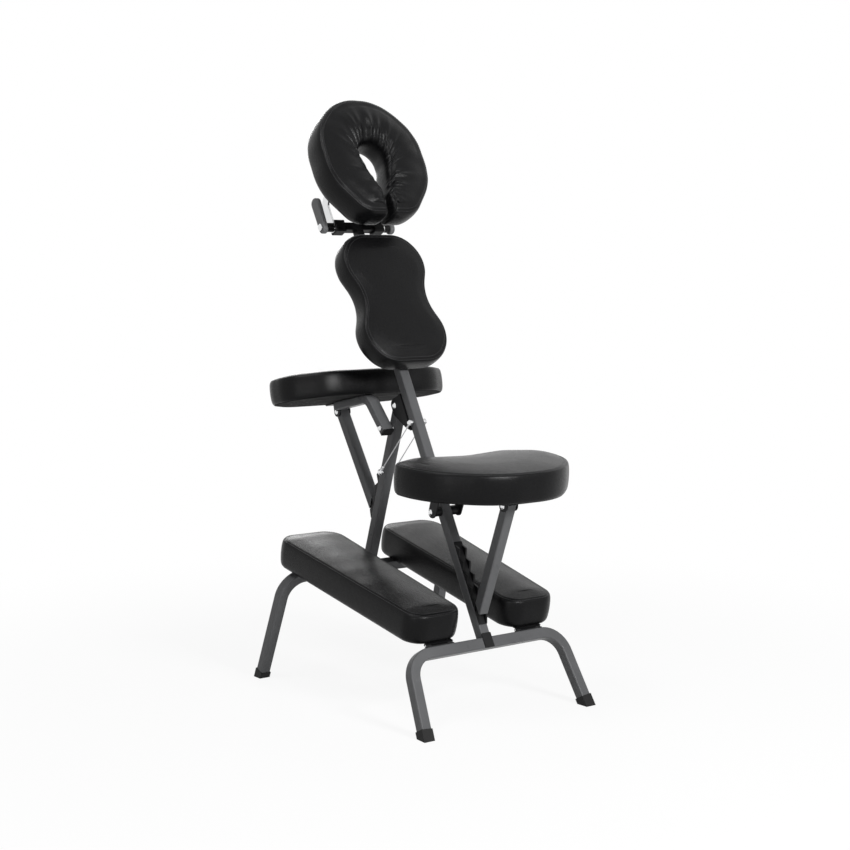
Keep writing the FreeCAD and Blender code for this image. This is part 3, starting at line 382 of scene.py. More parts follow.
def boxed_pad(name, matrix, outline, base, height, crown, step, seed):
    """A closed pad: rings round a board, a flat underside and a crowned top."""
    counts = share(outline(0.0), step)
    profile = boxed_profile(height, crown)
    start = shortest_start(trace(outline(profile[-1][0]), counts))
    rings, weights = [], []
    for inset, rise, held in profile:
        loop = np.roll(trace(outline(inset), counts), -start, axis=0)
        rings.append(np.column_stack([loop, np.full(len(loop), base + rise)]))
        weights.append(np.full(len(loop), held))
    count = len(rings[0])
    faces = ring_faces(len(rings), count)
    top = rows_across(rings[-1], BOXED_SPANS, crown * INNER_CROWN)
    under = rows_across(rings[0], BOXED_SPANS, 0.0)
    first_top = len(rings) * count
    faces += cover_faces(first_top - count, count, first_top, BOXED_SPANS)
    faces += [face[::-1] for face in cover_faces(0, count, first_top + len(top), BOXED_SPANS)]
    points = np.vstack([*rings, top, under])
    held = np.concatenate([*weights, np.zeros(len(top)), np.ones(len(under))])
    wave_long, wave_high = BOXED_WAVE
    wave = smooth_noise(points, wave_long, seed) * wave_high
    points[:, 2] += wave * (1 - held) * (points[:, 2] > base + height * 0.9)
    made = mesh_object(name, to_world(matrix, points), faces)
    pinned_cloth(made, held, BOXED_CAP)
    subdivide(made)
    return made


def subdivide(obj):
    """One level of smooth subdivision."""
    made = obj.modifiers.new("smooth", "SUBSURF")
    made.levels = 1
    made.render_levels = 1


def run_along(points):
    """Distance of each point from the first, along the path."""
    return np.concatenate([[0], np.cumsum(np.linalg.norm(np.diff(points, axis=0), axis=1))])


def at_marks(marks, run, points):
    """Points of a path at distances along it."""
    return np.column_stack([np.interp(marks, run, points[:, a]) for a in range(points.shape[1])])


def capsule_chain(name, path, normals):
    """Threads of a stitch line: short rounded bars along a path."""
    run = run_along(path)
    verts, faces = [], []
    for k in range(int(run[-1] // STITCH_PITCH)):
        marks = np.array([k * STITCH_PITCH + STITCH_LONG * part for part, _, _ in THREAD_SHAPE])
        spots, ups = at_marks(marks, run, path), at_marks(marks, run, normals)
        way = spots[-1] - spots[0]
        way /= max(np.linalg.norm(way), 1e-9)
        first = len(verts)
        for spot, up, (_, sink, wide) in zip(spots, ups, THREAD_SHAPE):
            up = up / np.linalg.norm(up)
            across = np.cross(way, up)
            across /= max(np.linalg.norm(across), 1e-9)
            middle = spot + up * (THREAD_LIFT + sink * THREAD_RADIUS)
            for s in range(THREAD_SIDES):
                angle = 2 * math.pi * s / THREAD_SIDES
                way_out = math.cos(angle) * across + math.sin(angle) * up
                verts.append(middle + THREAD_RADIUS * wide * way_out)
        last = len(verts) - THREAD_SIDES
        faces += ring_faces(len(THREAD_SHAPE), THREAD_SIDES, first)
        faces.append(tuple(first + s for s in reversed(range(THREAD_SIDES))))
        faces.append(tuple(last + s for s in range(THREAD_SIDES)))
    return mesh_object(name, verts, faces)


def cast_to(obj, spots, ways):
    """Where rays from spots along ways meet a pad's finished surface, and the normals there."""
    tree = BVHTree.FromObject(obj, bpy.context.evaluated_depsgraph_get())
    found, normals = [], []
    for spot, way in zip(spots, ways):
        hit, normal, _, _ = tree.ray_cast(Vector(spot - way * CAST_REACH), Vector(way))
        if hit is not None:
            found.append(np.array(hit))
            normals.append(np.array(normal))
    return np.array(found), np.array(normals)


def stitch_line(name, obj, matrix, loop, inner, rise, closed):
    """One row of stitches laid on a pad's finished surface, over a loop at a given height."""
    row = np.column_stack([loop, np.full(len(loop), rise)])
    goal = np.column_stack([inner, np.full(len(inner), rise - CAST_DROP)])
    spots, ends = to_world(matrix, row), to_world(matrix, goal)
    ways = ends - spots
    ways /= np.linalg.norm(ways, axis=1, keepdims=True)
    path, normals = cast_to(obj, spots, ways)
    if closed:
        path = np.vstack([path, path[:1]])
        normals = np.vstack([normals, normals[:1]])
    return capsule_chain(name, path, normals)


def stitch_pad(name, obj, matrix, outline, base, rows, step):
    """Stitch rows of a boxed pad at (inset, height)."""
    counts = share(outline(0.0), step)
    lines = [stitch_line(f"{name}_{index}", obj, matrix, trace(outline(inset), counts),
                         trace(outline(inset + CAST_INSET), counts), base + rise, True)
             for index, (inset, rise) in enumerate(rows)]
    return join(lines, name)


def join(objects, name):
    """One mesh object made of several."""
    made = bmesh.new()
    for obj in objects:
        mesh = obj.data
        made.from_mesh(mesh)
        bpy.data.objects.remove(obj)
        bpy.data.meshes.remove(mesh)
    mesh = bpy.data.meshes.new(name)
    made.to_mesh(mesh)
    made.free()
    joined = bpy.data.objects.new(name, mesh)
    bpy.context.scene.collection.objects.link(joined)
    return joined


def face_chains(d, count):
    """Rim and hole edge of the face pad, from the right of the chin slot round to the left."""
    half, long = 147.9 - d, 158.6 - d
    gap, hole = 6.0 + 0.5 * d, 34.0 + d
    low, high = FACE_MIDDLE - long, FACE_MIDDLE + long
    rim = [(gap, low, 6.0), (half * 0.5, low, 62 - d), (half, FACE_MIDDLE - long * 0.42, 132 - d),
           (half, FACE_MIDDLE + long * 0.42, 132 - d), (half * 0.42, high, 132 - d)]
    edge = [(hole, FACE_MIDDLE + 40.0 + d, 30 + d * 0.9), (hole, FACE_MIDDLE - 10.0, 50 + 0.6 * d),
            (gap, FACE_MIDDLE - 100.0, 40.0)]
    loop = mirrored(rim) + flipped(edge) + edge
    counts = share(loop, FACE_SPACING)
    points = trace(loop, counts)
    marks = np.cumsum([0] + [a + b for a, b in counts])
    left_chin = 2 * len(rim) - 1
    first = marks[0] + counts[0][0] // 2
    last = marks[left_chin] + counts[left_chin][0] // 2
    outer = points[first:last + 1]
    inner = np.vstack([points[last:], points[:first + 1]])[::-1]
    return resample(outer, count), resample(inner, count)


def resample(points, count):
    """A path with its points at even distances."""
    run = run_along(points)
    return at_marks(np.linspace(0, run[-1], count), run, points)


def gather_set(seed):
    """Folds of the cover round the hole: place along its edge, width, strength and reach in mm."""
    rng = np.random.default_rng(seed)
    folds = []
    for _ in range(FOLDS_ROUND):
        middle = rng.normal(0.47, 0.15)
        folds.append((middle, rng.uniform(0.004, 0.011), rng.uniform(0.4, 1.0), rng.uniform(14.0, 62.0)))
    beside_chin = (((0.03, 0.13), (0.006, 0.012), (0.4, 0.9), (14, 34)),
                   ((0.87, 0.97), (0.006, 0.012), (0.3, 0.8), (14, 30)))
    for _ in range(FOLDS_BESIDE):
        for limits in beside_chin:
            folds.append(tuple(rng.uniform(low, high) for low, high in limits))
    return folds


def gathered(folds, along, away):
    """Height of the folds at shares along the hole's edge and distances away from it."""
    total = np.zeros_like(along)
    for middle, wide, strength, reach in folds:
        spread = wide * (1.0 + away / FOLD_SPREAD)
        total += strength * np.exp(-((along - middle) / spread) ** 2) * np.exp(-(away / reach) ** 2)
    return total


# (rim inset, hole inset, height, held) of the face pad's rings, from its back to its top
FACE_RINGS = ((24.0, 24.0, 0.0, 1), (13.0, 13.0, 0.0, 1), (8.0, 8.0, 1.0, 1), (4.5, 4.5, 6.0, 0.6),
              (2.0, 2.0, 17.0, 0), (0.6, 0.6, 30.0, 0), (0.0, 0.0, 42.0, 0), (0.5, 0.8, 52.0, 0),
              (1.4, 2.4, 59.5, 0), (2.8, 5.0, 65.0, 0.2), (4.6, 8.4, 68.6, 0.5), (6.4, 11.6, 70.8, 0.9),
              (7.6, 14.6, 70.4, 1), (8.8, 17.4, 72.4, 0.9), (12.0, 20.0, 73.8, 0.3), (17.0, 22.2, 75.0, 0),
              (24.0, 24.0, 76.0, 0))


def face_cushion(count, crown):
    """The face pad: rings round a C-shaped outline, and a top that bridges rim to hole."""
    verts, held = [], []
    along = np.linspace(0, 1, count)
    folds = gather_set(GATHER_SEED)
    fold = gathered(folds, along, np.zeros(count))
    for rim, hole, rise, pin in FACE_RINGS:
        ring = np.vstack([face_chains(rim, count)[0], face_chains(hole, count)[1][::-1]])
        lift = np.full(2 * count, FACE_BASE + rise)
        # folds run over the hole's lip and die out down its wall
        lip = max(0.0, min(1.0, (rise - LIP_START) / LIP_DEPTH))
        lift[count:] += fold[::-1] * LIP_FOLDS * lip
        verts.append(np.column_stack([ring, lift]))
        held.append(np.concatenate([np.full(count, pin), np.full(count, pin if rise < HOLE_HELD else 0.0)]))
    size = 2 * count
    rings = len(FACE_RINGS)
    faces = ring_faces(rings, size)
    top_inset, _, top_rise, _ = FACE_RINGS[-1]
    outer, inner = face_chains(top_inset, count)
    cap = []
    for s in range(1, FACE_SPANS):
        f = s / FACE_SPANS
        row = outer * (1 - f) + inner * f
        away = np.linalg.norm(row - inner, axis=1)
        bulge = crown * math.sin(math.pi * f)
        lift = FACE_BASE + top_rise + bulge + gathered(folds, along, away) * COVER_FOLDS
        cap.append(np.column_stack([row, lift]))
    first_cap = rings * size
    top = first_cap - size

    def cap_index(s, i):
        if s == 0:
            return top + i
        if s == FACE_SPANS:
            return top + size - 1 - i
        return first_cap + (s - 1) * count + i

    for s in range(FACE_SPANS):
        for i in range(count - 1):
            faces.append((cap_index(s, i), cap_index(s, i + 1), cap_index(s + 1, i + 1), cap_index(s + 1, i)))
    for i in range(count - 1):
        faces.append((i + 1, i, size - 1 - i, size - 2 - i))
    for side, order in ((0, -1), (count - 1, 1)):
        chain = [cap_index(s, side) for s in range(FACE_SPANS + 1)]
        faces += [(chain[0], a, b)[::order] for a, b in zip(chain[1:-1], chain[2:])]
    points = np.vstack(verts + cap)
    weights = np.concatenate(held + [np.zeros(count)] * (FACE_SPANS - 1))
    wave_long, wave_high = FACE_WAVE
    wave = smooth_noise(points, wave_long, FACE_SEED) * wave_high
    points[:, 2] += wave * (points[:, 2] > FACE_BASE + UNEVEN_FROM)
    made = mesh_object("face_cushion", to_world(BACK, points), faces)
    pinned_cloth(made, weights, FACE_CAP)
    subdivide(made)
    return made


def swept(path, radii, up, sides, closed=False):
    """Points and faces of a tube along a path, with a radius at each point."""
    path = np.asarray(path, float)
    ways = np.roll(path, -1, axis=0) - np.roll(path, 1, axis=0) if closed else np.gradient(path, axis=0)
    ways /= np.linalg.norm(ways, axis=1, keepdims=True)
    first = np.cross(ways, up)
    first /= np.linalg.norm(first, axis=1, keepdims=True)
    second = np.cross(first, ways)
    angles = np.arange(sides) * 2 * math.pi / sides
    rings = [spot + radius * (np.outer(np.cos(angles), a) + np.outer(np.sin(angles), b))
             for spot, radius, a, b in zip(path, radii, first, second)]
    total = len(path)
    faces = []
    for i in range(total if closed else total - 1):
        j = (i + 1) % total
        for k in range(sides):
            m = (k + 1) % sides
            faces.append((i * sides + k, j * sides + k, j * sides + m, i * sides + m))
    if not closed:
        faces.append(tuple(range(sides)))
        faces.append(tuple((total - 1) * sides + k for k in reversed(range(sides))))
    return np.vstack(rings), faces


def merged(name, tubes):
    """One mesh object of several tubes."""
    verts, faces = [], []
    for points, loops in tubes:
        faces += [tuple(len(verts) + index for index in loop) for loop in loops]
        verts += list(points)
    return mesh_object(name, verts, faces)


# pressed sleeve of a stop cable as (distance from the eye's middle, radius), mm
SLEEVE = ((6.0, 1.7), (6.6, 2.6), (7.6, 3.0), (9.4, 3.0), (9.9, 2.5), (11.0, 2.5), (11.5, 3.0), (13.4, 3.0),
          (13.9, 2.5), (15.0, 2.5), (15.5, 3.0), (17.6, 3.0), (18.8, 2.6), (19.4, 1.7))


def stop_cable(name, upper, lower, settings):
    """A stranded wire between two bolts, with an eye and a pressed sleeve at each end."""
    span = lower - upper
    reach = float(np.linalg.norm(span))
    along = span / reach
    axle = np.array((1.0, 0.0, 0.0))
    across = np.cross(along, axle)
    strand, pitch = settings.strand * MM, settings.lay * MM
    tubes = []
    for end, way in ((upper, along), (lower, -along)):
        turn = np.linspace(0, 2 * math.pi, EYE_POINTS, endpoint=False)
        ring = end + EYE_RADIUS * (np.outer(np.cos(turn), way) + np.outer(np.sin(turn), across))
        tubes.append(swept(ring, np.full(len(ring), EYE_WIRE), axle, EYE_SIDES, closed=True))
        sleeve = [end + way * distance * MM for distance, _ in SLEEVE]
        tubes.append(swept(sleeve, [radius * MM for _, radius in SLEEVE], axle, SLEEVE_SIDES))
    start, stop = STRAND_START, reach - STRAND_START
    run = np.linspace(start, stop, int((stop - start) / pitch * STEPS_PER_LAY))
    core = upper + np.outer(run, along)
    radii = np.full(len(run), strand)
    tubes.append(swept(core, radii, axle, STRAND_SIDES))
    for k in range(STRANDS):
        turn = run / pitch * 2 * math.pi + k * 2 * math.pi / STRANDS
        path = core + 2 * strand * (np.outer(np.cos(turn), axle) + np.outer(np.sin(turn), across))
        tubes.append(swept(path, radii, axle, STRAND_SIDES))
    return merged(name, tubes)


def skin_group(name, inputs):
    """A shader node group with float inputs that gives a normal, a tone and a roughness."""
    made = bpy.data.node_groups.new(name, "ShaderNodeTree")
    for label, value in inputs.items():
        socket = made.interface.new_socket(label, in_out="INPUT", socket_type="NodeSocketFloat")
        socket.default_value = value
    for label, kind in (("Normal", "Vector"), ("Tone", "Float"), ("Roughness", "Float")):
        made.interface.new_socket(label, in_out="OUTPUT", socket_type=f"NodeSocket{kind}")
    return made, made.nodes.new("NodeGroupInput").outputs, made.nodes.new("NodeGroupOutput").inputs


def node(tree, kind, links=None, **values):
    """A shader node with socket values and plain properties set by name."""
    made = tree.nodes.new("ShaderNode" + kind)
    for key, value in values.items():
        if key in made.inputs:
            made.inputs[key].default_value = value
        else:
            setattr(made, key, value)
    for key, source in (links or {}).items():
        tree.links.new(source, made.inputs[key])
    return made


def ranged(tree, source, before=(0.0, 1.0), after=(0.0, 1.0), way="LINEAR"):
    """A value moved from one range to another."""
    made = node(tree, "MapRange", {"Value": source}, interpolation_type=way)
    for key, value in zip(("From Min", "From Max", "To Min", "To Max"), (*before, *after)):
        made.inputs[key].default_value = value
    return made.outputs["Result"]


def hide_group():
    """Grain of soft faux leather: pebbles, fine pores and slow creases."""
    tree, ins, outs = skin_group("hide_grain", {"Pebble": 700.0, "Depth": 0.35})
    where = node(tree, "TexCoord").outputs["Object"]
    bend = node(tree, "TexNoise", {"Vector": where}, Scale=160.0, Detail=2.0)
    shift = node(tree, "VectorMath", {0: bend.outputs["Color"]}, operation="SCALE", Scale=0.0012)
    moved = node(tree, "VectorMath", {0: where, 1: shift.outputs[0]}, operation="ADD")
    cells = node(tree, "TexVoronoi", {"Vector": moved.outputs[0], "Scale": ins["Pebble"]},
                 feature="DISTANCE_TO_EDGE")
    pebble = ranged(tree, cells.outputs["Distance"], before=(0.0, 0.22), way="SMOOTHSTEP")
    pores = node(tree, "TexNoise", {"Vector": where}, Scale=2600.0, Detail=1.0)
    crease = node(tree, "TexNoise", {"Vector": where}, Scale=22.0, Detail=3.0, Roughness=0.55)
    fine = node(tree, "Bump", {"Height": pebble, "Strength": ins["Depth"]}, Distance=0.0005)
    finer = node(tree, "Bump", {"Height": pores.outputs["Fac"], "Normal": fine.outputs[0]},
                 Strength=0.08, Distance=0.0003)
    slow = node(tree, "Bump", {"Height": crease.outputs["Fac"], "Normal": finer.outputs[0]},
                Strength=0.12, Distance=0.004)
    tree.links.new(slow.outputs[0], outs["Normal"])
    tree.links.new(ranged(tree, crease.outputs["Fac"], after=(0.8, 1.2)), outs["Tone"])
    tree.links.new(ranged(tree, pebble, after=(0.36, 0.24)), outs["Roughness"])
    return tree


def coat_group():
    """A sprayed or moulded skin: orange peel, uneven gloss and pale scuffs."""
    tree, ins, outs = skin_group("coat_skin", {"Peel": 900.0, "Depth": 0.12, "Low": 0.35, "High": 0.5,
                                               "Scuff": 0.3})
    where = node(tree, "TexCoord").outputs["Object"]
    peel = node(tree, "TexNoise", {"Vector": where, "Scale": ins["Peel"]}, Detail=2.0)
    cloud = node(tree, "TexNoise", {"Vector": where}, Scale=14.0, Detail=4.0).outputs["Fac"]
    bump = node(tree, "Bump", {"Height": peel.outputs["Fac"], "Strength": ins["Depth"]}, Distance=0.0004)
    tone = ranged(tree, cloud, after=(0.86, 1.14))
    rubbed = node(tree, "TexNoise", {"Vector": where}, Scale=38.0, Detail=8.0, Roughness=0.7)
    patch = ranged(tree, rubbed.outputs["Fac"], before=(0.6, 0.74), way="SMOOTHSTEP")
    worn = node(tree, "Math", {0: patch, 1: ins["Scuff"], 2: tone}, operation="MULTIPLY_ADD")
    rough = ranged(tree, cloud, before=(0.3, 0.7))
    for end, label in (("To Min", "Low"), ("To Max", "High")):
        tree.links.new(ins[label], rough.node.inputs[end])
    tree.links.new(bump.outputs[0], outs["Normal"])
    tree.links.new(worn.outputs[0], outs["Tone"])
    tree.links.new(rough, outs["Roughness"])
    return tree


def surface(name, colour, tree, settings, constants):
    """A principled material whose tone, roughness and normal come from a skin group."""
    made = bpy.data.materials.new(name)
    made.use_nodes = True
    nodes = made.node_tree
    shader = nodes.nodes["Principled BSDF"]
    skin = nodes.nodes.new("ShaderNodeGroup")
    skin.node_tree = tree
    for key, value in settings.items():
        skin.inputs[key].default_value = value
    tint = node(nodes, "VectorMath", {1: skin.outputs["Tone"]}, operation="MULTIPLY")
    tint.inputs[0].default_value = colour
    nodes.links.new(tint.outputs[0], shader.inputs["Base Color"])
    nodes.links.new(skin.outputs["Roughness"], shader.inputs["Roughness"])
    nodes.links.new(skin.outputs["Normal"], shader.inputs["Normal"])
    for key, value in constants.items():
        shader.inputs[key].default_value = value
    made.diffuse_color = (*colour, 1)
    return made


# finishes by slot: colour, skin, settings of the skin, and constants of the shader
FINISHES = {
    "leather": ((0.0035, 0.0035, 0.0038), "hide", {"Pebble": 620.0, "Depth": 0.16},
                {"Specular IOR Level": 0.12}),
    "board": ((0.008, 0.008, 0.008), "coat", {"Peel": 2200.0, "Depth": 0.5, "Low": 0.75, "High": 0.9},
              {"Specular IOR Level": 0.12}),
    "frame_paint": ((0.092, 0.093, 0.096), "coat",
                    {"Peel": 1100.0, "Depth": 0.10, "Low": 0.26, "High": 0.38, "Scuff": 0.3},
                    {"Specular IOR Level": 0.12}),
    "black_paint": ((0.006, 0.006, 0.0065), "coat",
                    {"Peel": 1300.0, "Depth": 0.14, "Low": 0.3, "High": 0.44, "Scuff": 0.8},
                    {"Specular IOR Level": 0.15}),
    "chrome": ((0.74, 0.745, 0.75), "coat", {"Peel": 500.0, "Depth": 0.02, "Low": 0.08, "High": 0.16},
               {"Metallic": 1.0}),
    "cable_steel": ((0.62, 0.62, 0.63), "coat", {"Peel": 2400.0, "Depth": 0.6, "Low": 0.25, "High": 0.4},
                    {"Metallic": 1.0}),
    "foot_rubber": ((0.010, 0.010, 0.010), "coat", {"Peel": 1500.0, "Depth": 0.2, "Low": 0.5, "High": 0.65},
                    {"Specular IOR Level": 0.15}),
    "black_plastic": ((0.006, 0.006, 0.0063), "coat",
                      {"Peel": 1700.0, "Depth": 0.25, "Low": 0.36, "High": 0.5},
                      {"Specular IOR Level": 0.15}),
    "lever_plastic": ((0.14, 0.141, 0.144), "coat",
                      {"Peel": 1500.0, "Depth": 0.25, "Low": 0.4, "High": 0.55, "Scuff": 0.5},
                      {"Specular IOR Level": 0.15}),
    "thread": ((0.035, 0.035, 0.037), "coat", {"Peel": 3000.0, "Depth": 0.5, "Low": 0.45, "High": 0.6},
               {"Specular IOR Level": 0.25}),
}


def make_materials():
    """The material of each slot."""
    skins = {"hide": hide_group(), "coat": coat_group()}
    return {slot: surface(slot, colour, skins[skin], settings, constants)
            for slot, (colour, skin, settings, constants) in FINISHES.items()}


MATERIALS = make_materials()


def dress(obj, slot):
    """Gives a piece its material."""
    obj.data.materials.clear()
    obj.data.materials.append(MATERIALS[slot])


# widths of the softened edges, m
BLOCK_EDGE = 0.002
SLOT_EDGES = {"foot_rubber": 0.0045, "black_paint": 0.0006, "chrome": 0.0006}


def soften_edges(obj, width):
    """Rounds the hard edges of a solid in the picture only."""
    bevel = obj.modifiers.new("edge", "BEVEL")
    bevel.width = width
    bevel.segments = 3
    bevel.limit_method = "ANGLE"
    bevel.angle_limit = math.radians(40)


class ChairUpholstery(PropertyGroup):
    """Sizes of the cover work."""
    seat_height: FloatProperty(name="Seat height", description="Edge height of the seat pad, mm",
                               default=66.7, min=30, max=120)
    arm_height: FloatProperty(name="Armrest height", description="Edge height of the armrest pad, mm",
                              default=60.2, min=30, max=120)
    chest_height: FloatProperty(name="Chest height", description="Edge height of the chest pad, mm",
                                default=51.5, min=20, max=120)
    knee_height: FloatProperty(name="Knee height", description="Edge height of the knee pads, mm",
                               default=67.0, min=20, max=120)
    crown: FloatProperty(name="Crown", description="Rise of each boxed pad's middle above its edge, mm",
                         default=8.0, min=0, max=30)
    face_crown: FloatProperty(name="Face crown", description="Rise of the face pad between rim and hole, mm",
                              default=5.0, min=0, max=30)
    spacing: FloatProperty(name="Spacing", description="Distance of mesh points round a pad, mm",
                           default=5.0, min=2, max=20)
    face_points: IntProperty(name="Face points", description="Points round the face pad's rim",
                             default=220, min=60, max=600)


class ChairCables(PropertyGroup):
    """Wire of the stop cables."""
    strand: FloatProperty(name="Strand", description="Radius of one strand, mm",
                          default=0.4, min=0.1, max=2)
    lay: FloatProperty(name="Lay", description="Length of one turn of the strands, mm",
                       default=11.0, min=4, max=40)


class ChairStage(PropertyGroup):
    """Camera and light."""
    camera_place: FloatVectorProperty(name="Camera", description="Camera place in the row frame",
                                      default=(-2.0882, -2.8942, 1.0015),
                                      subtype="TRANSLATION", unit="LENGTH")
    camera_turn: FloatVectorProperty(name="Turn", description="Camera rotation",
                                     default=(math.radians(84.01), 0.0, math.radians(-35.83)),
                                     subtype="EULER", unit="ROTATION")
    lens: FloatProperty(name="Lens", description="Focal length, mm", default=65.6, min=20, max=200)
    key_power: FloatProperty(name="Key", description="Power of the key light, W",
                             default=140.0, min=0, unit="POWER")
    side_power: FloatProperty(name="Side", description="Power of the side light, W",
                              default=18.0, min=0, unit="POWER")
    top_power: FloatProperty(name="Top", description="Power of the top light, W",
                             default=24.0, min=0, unit="POWER")
    back_power: FloatProperty(name="Back", description="Power of the back light, W",
                              default=26.0, min=0, unit="POWER")


class CHAIR_OT_solids(Operator):
    """Give every solid of the frame its finish and softened edges"""
    bl_idname = "chair.solids"
    bl_label = "Finish the solids"

    def execute(self, context):
        slots = {part["node"]: part["material_slot"] for part in frame["record"]["subparts"]}
        for name, obj in frame["nodes"].items():
            dress(obj, slots[name])
            width = BLOCK_EDGE if name.startswith("friction_blocks") else SLOT_EDGES.get(slots[name])
            if width:
                soften_edges(obj, width)
        return {"FINISHED"}


def finish_pad(obj, node_name, body, stitches):
    """Puts a pad and its stitches on their body, in place of the solid pad."""
    dress(obj, "leather")
    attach(obj, body)
    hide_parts(node_name)
    dress(stitches, "thread")
    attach(stitches, body)


def add_boxed(sizes, name, body, matrix, outline, base, height, seed):
    """A boxed pad with a row of stitches on each side of its seam."""
    pad = boxed_pad(f"{name}_cushion", matrix, outline, base, height, sizes.crown, sizes.spacing, seed)
    rows = ((4.4, height), (11.2, height + 2.0))
    line = stitch_pad(f"{name}_stitching", pad, matrix, outline, base, rows, sizes.spacing)
    finish_pad(pad, f"{name}_pad", body, line)


class CHAIR_OT_seat(Operator):
    """Upholster the seat"""
    bl_idname = "chair.seat"
    bl_label = "Seat pad"

    def execute(self, context):
        sizes = context.scene.chair_upholstery
        add_boxed(sizes, "seat", "seat", SEAT, seat_outline, 0.0, sizes.seat_height, 1)
        return {"FINISHED"}


class CHAIR_OT_armrest(Operator):
    """Upholster the armrest"""
    bl_idname = "chair.armrest"
    bl_label = "Armrest pad"

    def execute(self, context):
        sizes = context.scene.chair_upholstery
        add_boxed(sizes, "armrest", "armrest", ARM, arm_outline, 0.0, sizes.arm_height, 2)
        return {"FINISHED"}


class CHAIR_OT_chest(Operator):
    """Upholster the chest pad"""
    bl_idname = "chair.chest"
    bl_label = "Chest pad"

    def execute(self, context):
        sizes = context.scene.chair_upholstery
        add_boxed(sizes, "chest", "rear_frame", BACK, chest_outline, CHEST_BASE, sizes.chest_height, 3)
        return {"FINISHED"}


class CHAIR_OT_knees(Operator):
    """Upholster the two knee pads"""
    bl_idname = "chair.knees"
    bl_label = "Knee pads"

    def execute(self, context):
        sizes = context.scene.chair_upholstery
        for name, sign, seed in (("knee_left", -1.0, 4), ("knee_right", 1.0, 5)):
            add_boxed(sizes, name, name, KNEE, knee_outline(sign), KNEE_BASE, sizes.knee_height, seed)
        return {"FINISHED"}


class CHAIR_OT_face(Operator):
    """Upholster the face pad with its gathered hole"""
    bl_idname = "chair.face"
    bl_label = "Face pad"

    def execute(self, context):
        sizes = context.scene.chair_upholstery
        points = sizes.face_points
        pad = face_cushion(points, sizes.face_crown)
        rows = [stitch_line(f"face_row_{index}", pad, BACK, face_chains(inset, points)[0],
                            face_chains(inset + CAST_INSET, points)[0], rise, False)
                for index, (inset, rise) in enumerate(FACE_ROWS)]
        finish_pad(pad, "face_pad", "face_cradle", join(rows, "face_stitching"))
        return {"FINISHED"}


class CHAIR_OT_cables(Operator):
    """Lay the two stop cables between their bolts"""
    bl_idname = "chair.cables"
    bl_label = "Stop cables"

    def execute(self, context):
        for name in ("cable_left", "cable_right"):
            low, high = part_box(name)
            middle = (low[0] + high[0]) / 2
            upper = np.array((middle, low[1] + EYE_REACH, high[2] - EYE_REACH))
            lower = np.array((middle, high[1] - EYE_REACH, low[2] + EYE_REACH))
            wire = stop_cable(f"{name}_wire", upper, lower, context.scene.chair_cables)
            dress(wire, "cable_steel")
            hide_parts(name)
            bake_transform(wire)
        return {"FINISHED"}


# lamps: name, place, size, and the height on the chair's middle line that they face, m
LAMPS = (("key", (0.3, -3.5, 2.1), (0.9, 0.9), 0.7), ("side", (-2.9, -2.1, 1.1), (0.3, 1.9), 0.9),
         ("top", (-1.1, -0.3, 3.0), (0.9, 0.9), 0.6), ("back", (1.4, 3.4, 1.9), (1.2, 1.2), 0.7))
FLOOR = [(-14, -14, 0), (14, -14, 0), (14, 14, 0), (-14, 14, 0)]
SENSOR_WIDTH = 36.0


class CHAIR_OT_stage(Operator):
    """Floor, light and camera"""
    bl_idname = "chair.stage"
    bl_label = "Stage"

    def execute(self, context):
        settings = context.scene.chair_stage
        scene = context.scene
        scene.view_settings.view_transform = "Standard"
        floor = mesh_object("floor", FLOOR, [(0, 1, 2, 3)])
        floor.data.materials.append(white_ground())
        white_world(scene)
        for name, spot, size, height in LAMPS:
            lamp(name, getattr(settings, f"{name}_power"), spot, size, (0, 0, height))
        data = bpy.data.cameras.new("camera")
        data.lens = settings.lens
        data.sensor_width = SENSOR_WIDTH
        camera = bpy.data.objects.new("camera", data)
        camera.location = settings.camera_place
        camera.rotation_euler = settings.camera_turn
        scene.collection.objects.link(camera)
        scene.camera = camera
        return {"FINISHED"}


def lamp(name, power, spot, size, goal):
    """A rectangular area lamp that faces a point."""
    data = bpy.data.lights.new(name, "AREA")
    data.energy = power
    data.shape = "RECTANGLE"
    data.size, data.size_y = size
    made = bpy.data.objects.new(name, data)
    made.location = spot
    made.rotation_euler = (Vector(goal) - Vector(spot)).to_track_quat("-Z", "Y").to_euler()
    bpy.context.scene.collection.objects.link(made)


def seen_directly(tree):
    """1 for rays that show the background: from the camera, in gloss and through glass."""
    path = node(tree, "LightPath").outputs
    first = node(tree, "Math", {0: path["Is Camera Ray"], 1: path["Is Glossy Ray"]}, operation="MAXIMUM")
    both = node(tree, "Math", {0: first.outputs[0], 1: path["Is Transmission Ray"]}, operation="MAXIMUM")
    return both.outputs[0]


def white_world(scene):
    """A dim white surrounding that shows full white."""
    world = bpy.data.worlds.new("studio")
    scene.world = world
    world.use_nodes = True
    tree = world.node_tree
    background = tree.nodes["Background"]
    background.inputs["Color"].default_value = (1, 1, 1, 1)
    level = ranged(tree, seen_directly(tree), after=(0.1, 1.0))
    tree.links.new(level, background.inputs["Strength"])


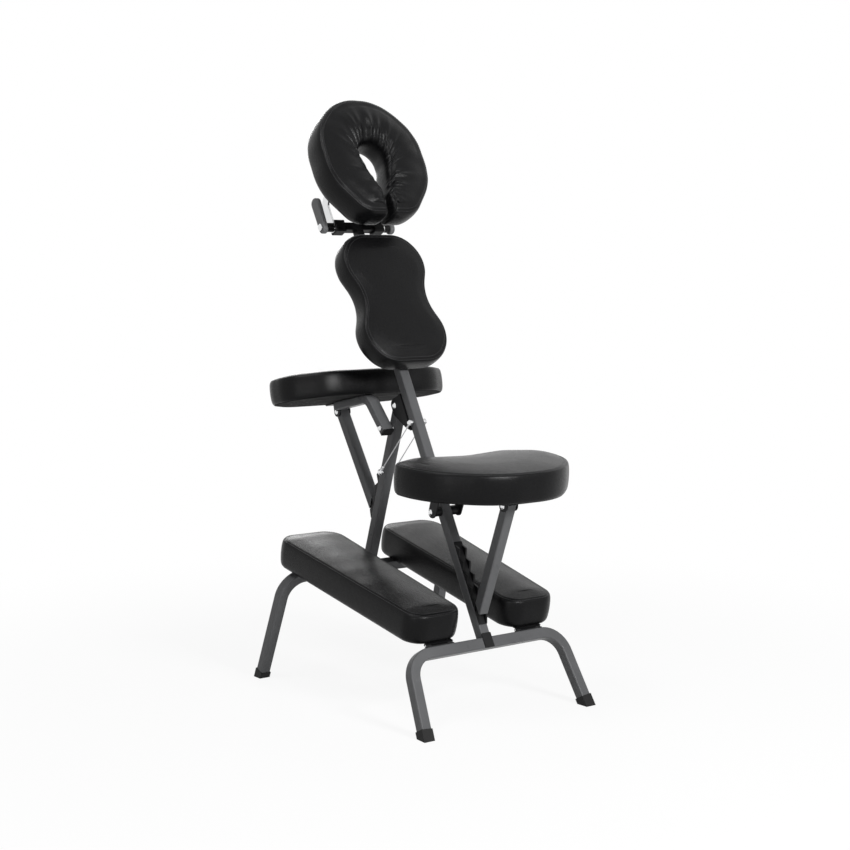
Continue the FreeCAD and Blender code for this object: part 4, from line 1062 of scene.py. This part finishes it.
def white_ground():
    """A pale floor that shows white, with the chair's soft shadow kept near its feet."""
    made = bpy.data.materials.new("ground")
    made.use_nodes = True
    tree = made.node_tree
    shader = tree.nodes["Principled BSDF"]
    shader.inputs["Base Color"].default_value = (0.86, 0.86, 0.86, 1)
    shader.inputs["Roughness"].default_value = 0.9
    glow = node(tree, "Emission", Color=(1, 1, 1, 1), Strength=1.0)
    spot = node(tree, "TexCoord").outputs["Object"]
    away = node(tree, "VectorMath", {0: spot}, operation="LENGTH")
    white = ranged(tree, away.outputs["Value"], (0.5, 1.9), (0.9, 1.0), "SMOOTHSTEP")
    seen = node(tree, "Math", {0: seen_directly(tree), 1: white}, operation="MULTIPLY")
    mix = node(tree, "MixShader", {0: seen.outputs[0], 1: shader.outputs[0], 2: glow.outputs[0]})
    tree.links.new(mix.outputs[0], tree.nodes["Material Output"].inputs["Surface"])
    return made


class CHAIR_PT_panel(Panel):
    """Steps that dress and stage the chair"""
    bl_idname = "CHAIR_PT_panel"
    bl_label = "Massage chair"
    bl_space_type = "VIEW_3D"
    bl_region_type = "UI"
    bl_category = "Chair"

    def draw(self, context):
        for step in STEPS:
            self.layout.operator(step.bl_idname)
        for name in SETTINGS:
            settings = getattr(context.scene, name)
            for key in settings.__annotations__:
                self.layout.prop(settings, key)


STEPS = (CHAIR_OT_solids, CHAIR_OT_seat, CHAIR_OT_armrest, CHAIR_OT_chest, CHAIR_OT_knees, CHAIR_OT_face,
         CHAIR_OT_cables, CHAIR_OT_stage)
SETTINGS = {"chair_upholstery": ChairUpholstery, "chair_cables": ChairCables, "chair_stage": ChairStage}
CLASSES = (*SETTINGS.values(), *STEPS, CHAIR_PT_panel)


def register():
    for cls in CLASSES:
        bpy.utils.register_class(cls)
    for name, kind in SETTINGS.items():
        setattr(bpy.types.Scene, name, PointerProperty(type=kind))


def unregister():
    for name in SETTINGS:
        delattr(bpy.types.Scene, name)
    for cls in reversed(CLASSES):
        bpy.utils.unregister_class(cls)


def main():
    register()
    for call in (bpy.ops.chair.solids, bpy.ops.chair.seat, bpy.ops.chair.armrest, bpy.ops.chair.chest,
                 bpy.ops.chair.knees, bpy.ops.chair.face, bpy.ops.chair.cables, bpy.ops.chair.stage):
        if call() != {"FINISHED"}:
            raise RuntimeError(f"{call} did not finish")


if __name__ == "__main__":
    main()
